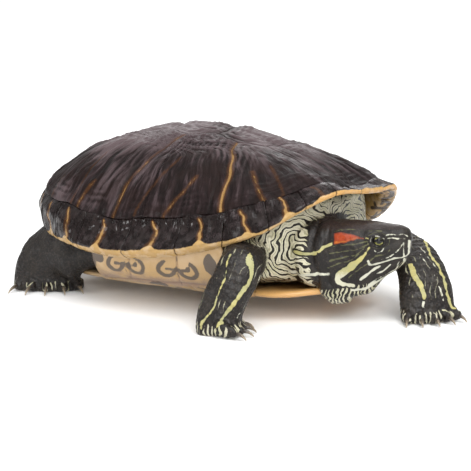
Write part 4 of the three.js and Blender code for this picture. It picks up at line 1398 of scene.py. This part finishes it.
# ------------------------------------------------------------------ eyes and claws
def build_eye(sign, material):
    """An eyeball with a low cornea; its marks are angles from the line of sight."""
    bpy.ops.mesh.primitive_uv_sphere_add(segments=64, ring_count=48)
    obj = bpy.context.active_object
    name = "left" if sign > 0 else "right"
    obj.name = obj.data.name = f"eyeball_{name}"
    mesh = obj.data
    q = np.array([v.co for v in mesh.vertices])
    look = unit(HEAD_SIDE * sign + HEAD_DIR * 0.22 + HEAD_UP * 0.10)
    across = unit(np.cross(HEAD_UP, look))
    up = np.cross(look, across)
    angle = np.degrees(np.arccos(clamp(q[:, 2], -1, 1)))
    radius = EYE_RADIUS + 0.22 * smooth(40, 12, angle)
    centre = on_head(EYE_BACK, sign * EYE_OUT, EYE_HIGH)
    set_positions(mesh, centre + radius[:, None] * (q @ np.array([across, up, look])))
    set_values(mesh, {"gaze": angle, "bar": np.abs(q[:, 1]) * EYE_RADIUS})
    mesh.shade_smooth()
    mesh.materials.append(material)
    face_outward(obj)
    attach(obj, "root")
    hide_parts(f"eye_{name}")
    return obj


def build_claws(name, foot, material):
    """The claws of one foot: horn curved down to the floor."""
    parts, claw, samples, sides = [], foot["claw"], 22, 18
    for start, step, long in toe_lines(foot):
        parts.append(toe_body(start, step, [
            [long - 2.4, 2.9, 1.05, 1.15], [long + claw * 0.15, 3.1, 1.0, 1.0],
            [long + claw * 0.55, 2.5, 0.72, 0.7], [long + claw * 0.85, 1.4, 0.4, 0.42],
            [long + claw, 0.55, 0.16, 0.16]], samples).mesh(sides))
    tip = np.concatenate([np.repeat(np.linspace(0, 1, samples + 1), sides), [0, 1]])
    points, faces = join_meshes(parts)
    points[:, 2] = np.maximum(points[:, 2], 0.02)
    obj = make_piece(f"claws_{name}", flesh_to_model(points), faces, material, {"tip": np.tile(tip, TOES)})
    face_outward(obj)
    return obj


# ------------------------------------------------------------------ materials
def srgb(text):
    """'#rrggbb' as the linear red, green and blue that Blender works in."""
    parts = [int(text[i:i + 2], 16) / 255 for i in (1, 3, 5)]
    return [c / 12.92 if c <= 0.04045 else ((c + 0.055) / 1.055) ** 2.4 for c in parts]


def add(tree, kind, *inputs, out=0, **settings):
    """Adds a node, sets its properties and its inputs, and gives back one of its outputs.

    Inputs come in the order of the sockets, or in a dict by name or number. An output of another
    node is linked, and anything else is the socket's own value.
    """
    node = tree.nodes.new("ShaderNode" + kind)
    for key, value in settings.items():
        setattr(node, key, value)
    by_key = inputs[0] if inputs and isinstance(inputs[0], dict) else dict(enumerate(inputs))
    for key, value in by_key.items():
        if isinstance(value, bpy.types.NodeSocket):
            tree.links.new(value, node.inputs[key])
        else:
            plain = node.inputs[key].type == "RGBA" and len(value) == 3  # a colour without its alpha
            node.inputs[key].default_value = (*value, 1.0) if plain else value
    return node.outputs[out] if len(node.outputs) else None


def start_material(name, colour):
    """A new material, its node tree, the place on the piece, and fine noise about 0 to fray edges with."""
    old = bpy.data.materials.get(name)
    if old:
        bpy.data.materials.remove(old)
    material = bpy.data.materials.new(name)
    material.use_nodes = True
    material.diffuse_color = (*colour, 1.0)
    tree = material.node_tree
    tree.nodes.clear()
    place = add(tree, "TexCoord", out="Object")
    fine = add(tree, "TexNoise", {"Vector": place, "Scale": 1 / (0.7 * MM), "Detail": 3.0}, out="Fac")
    return material, tree, place, add(tree, "Math", fine, 0.5, operation="SUBTRACT")


def paint(tree, colour, fray, coats):
    """Lays coats of colour over a ground. Each is (value, none at, full at, strength, colour).

    A value is another node's output, or the name of one of the mesh's own values; those are lengths
    in millimetres for the most part, and the fray makes their borders a little ragged.
    """
    for value, none, full, strength, coat in coats:
        if isinstance(value, str):
            own = add(tree, "Attribute", out="Fac", attribute_name=value)
            value = add(tree, "Math", fray, abs(full - none), own, operation="MULTIPLY_ADD")
        mask = add(tree, "MapRange", value, none, full, 0.0, strength, interpolation_type="SMOOTHSTEP")
        colour = add(tree, "Mix", {0: mask, 6: colour, 7: coat}, out=2, data_type="RGBA")
    return colour


def surface(tree, colour, roughness, height, depth_mm, **constants):
    """The surface itself: relief of a depth, and constants set straight on its sockets, _ for a space."""
    normal = add(tree, "Bump", {"Height": height, "Distance": depth_mm * MM})
    shader = {"Base Color": colour, "Roughness": roughness, "Normal": normal}
    shader.update({key.replace("_", " "): value for key, value in constants.items()})
    add(tree, "OutputMaterial", {"Surface": add(tree, "BsdfPrincipled", shader)})


def sheet_noise(tree, across_mm, down_mm):
    """Noise drawn out along the growth of a plate, on the mesh's own across and down values."""
    across, down = (add(tree, "Attribute", out="Fac", attribute_name=key)
                    for key in ("across", "down"))
    sheet = add(tree, "CombineXYZ", across, down)
    at = add(tree, "Mapping", {"Vector": sheet, "Scale": (1 / across_mm, 1 / down_mm, 1)})
    return add(tree, "TexNoise", {"Vector": at, "Scale": 1.0, "Detail": 3.0, "Roughness": 0.6,
                                  "Distortion": 0.35}, out="Fac")


def horn_of_the_back(looks):
    """Keratin, grown in layers and rubbed: brown-black in the hollows, grey-violet on the ridges, satin,
    paler with painted sheen on the crown and the rear.
    """
    material, tree, place, fray = start_material("keratin_back", looks.horn_dark)
    broad, thin = sheet_noise(tree, 3.4, 24), sheet_noise(tree, 1.5, 13)
    cloud = add(tree, "TexNoise", {"Vector": place, "Scale": 1 / (11 * MM), "Detail": 3.0}, out="Fac")
    relief = add(tree, "Math", thin, 0.2, broad, operation="MULTIPLY_ADD")
    # The mesh's own ridge and height decide where the horn is painted pale, by wear and by painted sheen on
    # the crown and the rear, without a frayed border.
    wear_and_sheen = add(tree, "Attribute", out="Fac", attribute_name="wear_and_sheen")
    high = add(tree, "Math", wear_and_sheen, 0.17, relief, operation="MULTIPLY_ADD")
    colour = paint(tree, looks.horn_dark, fray, [
        (relief, 0.48, 0.74, 0.8, looks.horn_bloom),
        (high, 0.62, 0.86, 0.6, looks.horn_wear_sheen),
        ("ridge", 0.0, 1.6, 0.55, looks.horn_bloom),
        (cloud, 0.42, 0.62, 0.55, looks.horn_brown),
        (wear_and_sheen, 0.25, 1.15, 0.75, looks.horn_wear_sheen),
        ("streak", 1.9, 0.2, 0.42, looks.horn_amber),
        ("streak", 0.35, -0.45, 0.75, looks.streak_yellow),
        ("joint", 0.6, 0.1, 0.4, looks.joint_dirt)])
    rough = add(tree, "MapRange", cloud, 0.35, 0.65, 0.36, 0.52)
    height = add(tree, "Math", fray, 0.1, relief, operation="MULTIPLY_ADD")
    surface(tree, colour, rough, height, 0.95, Coat_Weight=0.05, Coat_Roughness=0.15, Specular_IOR_Level=0.08)
    return material


def horn_of_the_rim(looks):
    """Keratin of the rim, wet: black-brown above with a yellow bar, tan yellow with dark rings below."""
    material, tree, place, fray = start_material("keratin_rim", looks.horn_dark)
    thin = sheet_noise(tree, 1.6, 5)
    cloud = add(tree, "TexNoise", {"Vector": place, "Scale": 1 / (5 * MM), "Detail": 3.0}, out="Fac")
    lump = add(tree, "TexNoise", {"Vector": place, "Scale": 1 / (3 * MM), "Detail": 2.0}, out="Fac")
    above = paint(tree, looks.horn_dark, fray, [
        (thin, 0.48, 0.75, 0.5, looks.horn_bloom),
        (cloud, 0.45, 0.62, 0.5, looks.horn_brown),
        # Painted sheen high on the rim, with wear.
        ("wear_and_sheen", 0.0, 1.0, 0.8, looks.horn_wear_sheen),
        ("streak", 1.7, 0.2, 0.5, looks.horn_amber),
        ("streak", 0.3, -0.35, 0.8, looks.streak_yellow),
        ("joint", 0.5, 0.1, 0.55, looks.joint_dirt)])
    below = paint(tree, looks.belly_yellow, fray, [
        (cloud, 0.4, 0.7, 1.0, looks.belly_pale),
        ("orange", 0.0, 1.0, 0.7, looks.belly_orange),
        ("dark", 0.3, -0.4, 0.92, looks.ring_brown)])
    colour = paint(tree, above, fray, [("under", -0.3, 0.3, 1.0, below)])
    rough = add(tree, "MapRange", cloud, 0.35, 0.65, 0.16, 0.38)
    # A film of water lies in drops and runs of its own.
    wet = add(tree, "MapRange", cloud, 0.44, 0.66, 0.04, 0.5)
    swell = add(tree, "TexNoise", {"Vector": place, "Scale": 1 / (7 * MM), "Detail": 0.0}, out="Fac")
    film = add(tree, "Bump", {"Height": swell, "Distance": 1.6 * MM})
    height = add(tree, "Math", lump, 0.8, thin, operation="MULTIPLY_ADD")
    surface(tree, colour, rough, height, 0.55, Coat_Weight=wet, Coat_Roughness=0.05, Coat_Normal=film,
            Specular_IOR_Level=0.10)
    return material


def horn_of_the_belly(looks):
    """Keratin of the belly, rubbed smooth: tan yellow, orange in front, smoky brown rings, amber joints."""
    material, tree, place, fray = start_material("keratin_belly", looks.belly_yellow)
    cloud = add(tree, "TexNoise", {"Vector": place, "Scale": 1 / (14 * MM), "Detail": 3.0}, out="Fac")
    lump = add(tree, "TexNoise", {"Vector": place, "Scale": 1 / (4 * MM), "Detail": 3.0}, out="Fac")
    colour = paint(tree, looks.belly_yellow, fray, [
        (cloud, 0.4, 0.7, 1.0, looks.belly_pale),
        ("orange", 0.0, 1.0, 1.0, looks.belly_orange),
        ("joint", 1.0, 0.2, 0.55, looks.horn_amber),
        # Painted shade with a rose tint at the foot of the bridges, near the floor.
        ("low", 9.0, 3.0, 0.75, looks.belly_foot_shade),
        ("dark", 0.2, -0.35, 0.9, looks.ring_brown)])
    rough = add(tree, "MapRange", cloud, 0.3, 0.7, 0.28, 0.42)
    height = add(tree, "Math", fray, 1.0, lump, operation="ADD")
    surface(tree, colour, rough, height, 0.12, Coat_Weight=0.3, Coat_Roughness=0.2)
    return material


def scaly_skin(looks):
    """Leathery skin: brown-black under fine cream and yellow-green stripes, a red patch behind the eye."""
    material, tree, place, fray = start_material("scaly_skin", looks.skin_dark)
    cloud = add(tree, "TexNoise", {"Vector": place, "Scale": 1 / (7 * MM), "Detail": 3.0}, out="Fac")
    fleck = add(tree, "TexNoise", {"Vector": place, "Scale": 1 / (1.6 * MM), "Detail": 3.0}, out="Fac")
    # Pebbled grain, finer on the head.
    pebble, body = (add(tree, "TexVoronoi", {"Vector": place, "Scale": 1 / (size * MM)}, out="Distance",
                        feature="SMOOTH_F1") for size in (0.62, 1.15))
    phase, lines, on_head = (add(tree, "Attribute", out="Fac", attribute_name=key)
                             for key in ("phase", "lines", "head"))
    # Fine stripes: a wave of the mesh's own phase, in millimetres, wider where there is more of them.
    wave = add(tree, "Math", add(tree, "Math", phase, 2 * math.pi / LINE_PERIOD, operation="MULTIPLY"),
               operation="SINE")
    level = add(tree, "Math", add(tree, "Math", lines, 2.6, -1.87, operation="MULTIPLY_ADD"), wave,
                operation="ADD")
    level = add(tree, "Math", fray, 0.4, level, operation="MULTIPLY_ADD")
    shown = add(tree, "MapRange", lines, 0.02, 0.2)
    cream = paint(tree, looks.cream, fray, [
        (cloud, 0.3, 0.6, 1.0, looks.cream_white),
        (add(tree, "Math", fray, 0.25, wave, operation="MULTIPLY_ADD"), 0.86, 1.0, 0.5, looks.olive_line)])
    scale = add(tree, "MapRange", on_head, 0.0, 1.0, 0.4, 0.0)
    colour = paint(tree, looks.skin_dark, fray, [(cloud, 0.4, 0.75, 1.0, looks.skin_olive),
                                                 (body, 0.5, 0.05, scale, looks.skin_scale)])
    colour = paint(tree, colour, fray, [
        (level, -0.14, 0.18, shown, cream),
        # Painted sheen on the top of the head.
        ("crown", 0.1, 0.9, 1.0, looks.skin_top_sheen),
        ("olive", 0.16, -0.12, 0.75, looks.olive_line),
        ("pale", 0.16, -0.16, 1.0, looks.pale_line)])
    green = paint(tree, looks.stripe_yellow, fray, [(cloud, 0.35, 0.65, 1.0, looks.stripe_green),
                                                    ("soft", 0.0, 1.0, 0.8, looks.pale_line)])
    patch = paint(tree, looks.red, fray, [(fleck, 0.45, 0.7, 0.8, looks.red_deep),
                                          ("ember", 0.0, 1.0, 0.85, looks.ember)])
    # A dark outline makes each broad stripe stand out.
    colour = paint(tree, colour, fray, [
        ("yellow", 1.0, 0.6, 1.0, looks.skin_dark),
        ("yellow", 0.16, -0.18, 1.0, green),
        ("red", 1.0, 0.55, 1.0, looks.skin_dark),
        ("red", 0.22, -0.05, 0.7, looks.red_deep),
        ("red", 0.0, -0.7, 1.0, patch),
        ("pink", 0.0, 1.0, 0.6, looks.bare_pink)])
    grain = add(tree, "Mix", {0: on_head, 2: add(tree, "Math", body, -1.0, operation="MULTIPLY"),
                              3: add(tree, "Math", pebble, -0.35, operation="MULTIPLY")})
    height = add(tree, "Math", fray, 0.35, grain, operation="MULTIPLY_ADD")
    rough = add(tree, "MapRange", fleck, 0.35, 0.65, 0.34, 0.52)
    surface(tree, colour, rough, height, 0.30, Coat_Weight=0.08, Coat_Roughness=0.2, Specular_IOR_Level=0.26)
    return material


def claw_horn(looks):
    """Keratin claw, grown in a cone: black-brown at the root, paling to a horn-grey tip, glossy."""
    material, tree, place, fray = start_material("claw_horn", looks.claw_dark)
    streaky = add(tree, "TexNoise", {"Vector": place, "Scale": 1 / (1.5 * MM), "Detail": 3.0}, out="Fac")
    colour = paint(tree, looks.claw_dark, fray, [("tip", 0.15, 1.05, 1.0, looks.claw_tip),
                                                 (streaky, 0.5, 0.75, 0.4, looks.claw_tip)])
    surface(tree, colour, 0.3, streaky, 0.08, Coat_Weight=0.3, Coat_Roughness=0.2)
    return material


def wet_eye(looks):
    """Eyeball under a wet cornea: yellow-green iris crossed by a dark bar, round black pupil."""
    material, tree, place, fray = start_material("wet_eye", looks.iris)
    fleck = add(tree, "TexNoise", {"Vector": place, "Scale": 1 / (0.35 * MM), "Detail": 3.0}, out="Fac")
    colour = paint(tree, looks.iris, fray, [
        (fleck, 0.42, 0.62, 1.0, looks.iris_deep),
        ("bar", 0.95, 0.55, 1.0, looks.skin_dark),
        ("gaze", 25.0, 22.5, 1.0, looks.pupil),
        ("gaze", 38.0, 43.0, 1.0, looks.skin_dark)])
    surface(tree, colour, 0.2, fleck, 0.0, Coat_Weight=0.6, Coat_Roughness=0.02, Specular_IOR_Level=0.1)
    return material


def paper(looks):
    """Matt white paper on a softly lit table, which gives back a little light of its own, more far out."""
    material, tree, place, _ = start_material("paper", looks.floor)
    fibre = add(tree, "TexNoise", {"Vector": place, "Scale": 1 / (20 * MM), "Detail": 3.0}, out="Fac")
    away = add(tree, "VectorMath", place, out="Value", operation="LENGTH")
    glow = add(tree, "MapRange", away, 0.6, 1.8, looks.floor_glow, looks.floor_glow + 0.2)
    surface(tree, looks.floor, 0.9, fibre, 0.0, Emission_Strength=glow, Emission_Color=(1, 1, 1))
    return material


# ------------------------------------------------------------------ sizes and colours to change
def colour_property(name, text, description):
    return bpy.props.FloatVectorProperty(name=name, description=description, subtype="COLOR", size=3,
                                         min=0.0, max=1.0, default=srgb(text))


class SliderLooks(bpy.types.PropertyGroup):
    """Sizes and colours of the turtle and its stage."""

    horn_spacing: bpy.props.FloatProperty(
        name="Horn detail", description="Distance between the points of the shell plates",
        default=0.00115, min=0.0006, max=0.004, unit="LENGTH", precision=5)
    skin_voxel: bpy.props.FloatProperty(
        name="Skin detail", description="Voxel size the skin is joined at",
        default=0.00130, min=0.0008, max=0.003, unit="LENGTH", precision=5)
    key_power: bpy.props.FloatProperty(
        name="Key light", description="Power of the big soft light above", default=22.0, min=0.0,
        unit="POWER")
    sky: bpy.props.FloatProperty(
        name="Surroundings", description="Strength of the white room light", default=0.78, min=0.0, max=3.0,
        subtype="FACTOR")
    floor_glow: bpy.props.FloatProperty(
        name="Paper glow", description="Light that the paper gives back of its own", default=0.03, min=0.0,
        max=1.0, subtype="FACTOR")
    horn_dark: colour_property("Horn, dark", "#120b0a", "Hollows of the back's plates")
    horn_brown: colour_property("Horn, brown", "#1f1310", "Browner clouds of the back's plates")
    horn_bloom: colour_property("Horn, bloom", "#2b2021", "Worn ridges of the back's plates")
    # Pale horn: wear, and painted sheen on the crown of the back and the high front of the rim.
    horn_wear_sheen: colour_property("Horn, worn", "#5c4f51", "Wear and painted sheen on the crown of the back and the high rim")
    horn_amber: colour_property("Horn, amber", "#5a3718", "Clearer horn beside streaks and joints")
    streak_yellow: colour_property("Streaks", "#a5814e", "Yellow streaks and bars of the carapace")
    belly_yellow: colour_property("Belly", "#ab8b59", "Ground of the plastron and the rim's underside")
    belly_pale: colour_property("Belly, pale", "#b89c76", "Paler clouds of the plastron")
    belly_orange: colour_property("Belly, orange", "#c99a5c", "Front of the plastron and rim")
    # Painted shade with a rose tint at the foot of the bridges.
    belly_foot_shade: colour_property("Belly, rose", "#7d665c", "Foot of the bridges, in painted shade with a rose tint")
    joint_dirt: colour_property("Joints", "#120d0a", "Dirt in the joints of the back")
    ring_brown: colour_property("Rings", "#352a25", "Dark rings of the plastron and rim")
    skin_dark: colour_property("Skin, dark", "#14110f", "Ground of the skin")
    skin_olive: colour_property("Skin, olive", "#26221d", "Olive clouds of the skin")
    skin_scale: colour_property("Skin, scales", "#3b3431", "Raised middles of the scales")
    # Painted sheen on the top of the head.
    skin_top_sheen: colour_property("Skin, crown", "#2b2321", "Top of the head")
    olive_line: colour_property("Cheek lines", "#5a5a3c", "Dull lines of the cheek")
    cream: colour_property("Fine lines", "#b9b593", "Fine lines of the neck and feet")
    cream_white: colour_property("Fine lines, white", "#cfcab2", "Whitest of the fine lines")
    pale_line: colour_property("Jaw line", "#c0bfae", "White lines of the jaws")
    stripe_yellow: colour_property("Stripes", "#b0a76a", "Broad stripes of head and legs")
    stripe_green: colour_property("Stripes, green", "#a09d70", "Greener parts of the broad stripes")
    ember: colour_property("Red patch, edge", "#b0601e", "Orange along the foot of the red patch")
    red: colour_property("Red patch", "#8e3208", "Patch behind the eye")
    red_deep: colour_property("Red patch, deep", "#74280c", "Darker scales of the red patch")
    bare_pink: colour_property("Bare skin", "#a98878", "Soft skin of the soles and flanks")
    claw_dark: colour_property("Claw", "#2c241e", "Roots of the claws")
    claw_tip: colour_property("Claw, tip", "#9c8c74", "Tips of the claws")
    iris: colour_property("Iris", "#86823f", "Iris")
    iris_deep: colour_property("Iris, deep", "#3d4020", "Flecks of the iris")
    pupil: colour_property("Pupil", "#050505", "Pupil")
    floor: colour_property("Floor", "#f6f6f6", "Paper under the animal")


# ------------------------------------------------------------------ operators
def finish(operator, made):
    """Ends an operator, with an error where it made nothing or left edit mode open."""
    if not made or bpy.context.mode != "OBJECT":
        raise RuntimeError(f"{operator.bl_idname} could not finish")
    return {"FINISHED"}


class SLIDER_OT_back_plates(bpy.types.Operator):
    """Five vertebral and eight costal plates over the dome of the shell"""
    bl_idname = "slider.back_plates"
    bl_label = "Plates of the back"

    def execute(self, context):
        looks = context.scene.slider_looks
        sheet, horn, made = Unrolled(), horn_of_the_back(looks), []
        for name, plan in plate_outlines(sheet).items():
            made.append(dome_plate(sheet, name, plan, horn, looks.horn_spacing / MM))
        return finish(self, made)


class SLIDER_OT_rim_plates(bpy.types.Operator):
    """The nuchal and the twelve pairs of marginal plates"""
    bl_idname = "slider.rim_plates"
    bl_label = "Plates of the rim"

    def execute(self, context):
        looks = context.scene.slider_looks
        horn, spacing = horn_of_the_rim(looks), looks.horn_spacing / MM * 0.75
        seams = [math.radians(a) for a in RIM_SEAMS]
        made = [rim_plate("nuchal", -seams[0], seams[0], horn, spacing)]
        for i in range(12):
            made.append(rim_plate(f"marginal_left_{i + 1}", seams[i], seams[i + 1], horn, spacing))
            made.append(rim_plate(f"marginal_right_{i + 1}", -seams[i + 1], -seams[i], horn, spacing))
        return finish(self, made)


class SLIDER_OT_plastron(bpy.types.Operator):
    """The belly shell with its bridges"""
    bl_idname = "slider.plastron"
    bl_label = "Plastron"

    def execute(self, context):
        looks = context.scene.slider_looks
        obj = plastron_piece(horn_of_the_belly(looks), looks.horn_spacing / MM)
        return finish(self, [obj])


class SLIDER_OT_skin(bpy.types.Operator):
    """One skin over head, neck, legs, feet, tail and body"""
    bl_idname = "slider.skin"
    bl_label = "Skin"

    def execute(self, context):
        looks = context.scene.slider_looks
        obj = build_skin(scaly_skin(looks), looks.skin_voxel / MM)
        return finish(self, [obj])


class SLIDER_OT_eyes(bpy.types.Operator):
    """Both eyeballs, seated behind the lids"""
    bl_idname = "slider.eyes"
    bl_label = "Eyes"

    def execute(self, context):
        material = wet_eye(context.scene.slider_looks)
        made = [build_eye(sign, material) for sign in (1, -1)]
        return finish(self, made)


class SLIDER_OT_claws(bpy.types.Operator):
    """The claws of all four feet"""
    bl_idname = "slider.claws"
    bl_label = "Claws"

    def execute(self, context):
        horn = claw_horn(context.scene.slider_looks)
        return finish(self, [build_claws(name, foot, horn) for name, foot in FEET.items()])


# Camera: degrees round and above the animal, distance and lens, and the point it looks at (model mm).
CAMERA = {"azimuth": -56.0, "elevation": 11.5, "distance": 875.0, "lens": 127.7, "target": (2.8, 4.3, 31.5)}
# Lights: place (m), size (m), share of the key's power.
LIGHTS = {
    "key": ((-0.55, -0.75, 1.35), (1.3, 1.3), 1.0),
    "fill": ((-1.5, -1.1, 0.55), (1.0, 1.0), 0.35),
    "rim": ((1.2, 0.9, 0.9), (1.0, 0.8), 0.35),
    "glint": ((-1.3, -1.0, 0.75), (0.3, 0.3), 0.14),
    "glint_rear": ((-1.45, 0.95, 0.6), (0.35, 0.25), 0.16),
}


def soft_light(name, place, size, power):
    """A rectangle of light, turned to the animal."""
    bpy.ops.object.light_add(type="AREA", location=place)
    light = bpy.context.active_object
    light.name, light.data.shape, light.data.energy = name, "RECTANGLE", power
    light.data.size, light.data.size_y = size
    light.rotation_euler = (Vector((0, 0, 0.03)) - Vector(place)).to_track_quat("-Z", "Y").to_euler()


def white_room(sky):
    """A room lit from above: dim round the walls, bright overhead."""
    world = bpy.data.worlds.new("room")
    world.use_nodes = True
    tree, background = world.node_tree, world.node_tree.nodes["Background"]
    high = add(tree, "SeparateXYZ", add(tree, "TexCoord", out="Generated"), out="Z")
    glow = add(tree, "MapRange", high, 0.0, 1.0, sky * 0.35, sky * 1.5)
    tree.links.new(glow, background.inputs["Strength"])
    background.inputs["Color"].default_value = (1, 1, 1, 1)
    return world


def aimed_camera():
    """The camera, where CAMERA puts it."""
    a, e = math.radians(CAMERA["azimuth"]), math.radians(CAMERA["elevation"])
    back = Vector((math.sin(a) * math.cos(e), -math.cos(a) * math.cos(e), math.sin(e)))
    bpy.ops.object.camera_add(location=Vector(CAMERA["target"]) * MM + back * CAMERA["distance"] * MM)
    camera = bpy.context.active_object
    camera.name = "camera"
    camera.rotation_euler = back.to_track_quat("Z", "Y").to_euler()
    camera.data.lens, camera.data.sensor_width = CAMERA["lens"], 36.0
    camera.data.clip_start, camera.data.clip_end = 0.01, 50.0
    return camera


class SLIDER_OT_stage(bpy.types.Operator):
    """White paper floor, soft lights and the camera"""
    bl_idname = "slider.stage"
    bl_label = "Stage"

    def execute(self, context):
        scene, looks = context.scene, context.scene.slider_looks
        bpy.ops.mesh.primitive_plane_add(size=16)
        floor = bpy.context.active_object
        floor.name = "floor"
        floor.data.materials.append(paper(looks))
        for name, (place, size, share) in LIGHTS.items():
            soft_light(f"light_{name}", place, size, looks.key_power * share)
        scene.world, scene.camera = white_room(looks.sky), aimed_camera()
        scene.view_settings.view_transform = "Standard"
        scene.view_settings.look = "None"
        return finish(self, [floor, scene.camera])


OPERATORS = (SLIDER_OT_back_plates, SLIDER_OT_rim_plates, SLIDER_OT_plastron, SLIDER_OT_skin,
             SLIDER_OT_eyes, SLIDER_OT_claws, SLIDER_OT_stage)


class SLIDER_PT_panel(bpy.types.Panel):
    """The turtle's pieces, sizes and colours"""
    bl_idname = "SLIDER_PT_panel"
    bl_label = "Red-eared slider"
    bl_space_type = "VIEW_3D"
    bl_region_type = "UI"
    bl_category = "Slider"

    def draw(self, context):
        column = self.layout.column(align=True)
        for operator in OPERATORS:
            column.operator(operator.bl_idname)
        looks = context.scene.slider_looks
        column = self.layout.column(align=True)
        for key in SliderLooks.__annotations__:
            column.prop(looks, key)


CLASSES = (SliderLooks, *OPERATORS, SLIDER_PT_panel)


def register():
    for cls in CLASSES:
        bpy.utils.register_class(cls)
    bpy.types.Scene.slider_looks = bpy.props.PointerProperty(type=SliderLooks)


def unregister():
    del bpy.types.Scene.slider_looks
    for cls in reversed(CLASSES):
        bpy.utils.unregister_class(cls)


def main():
    register()
    for call in (bpy.ops.slider.back_plates, bpy.ops.slider.rim_plates, bpy.ops.slider.plastron,
                 bpy.ops.slider.skin, bpy.ops.slider.eyes, bpy.ops.slider.claws, bpy.ops.slider.stage):
        call()


if __name__ == "__main__":
    main()
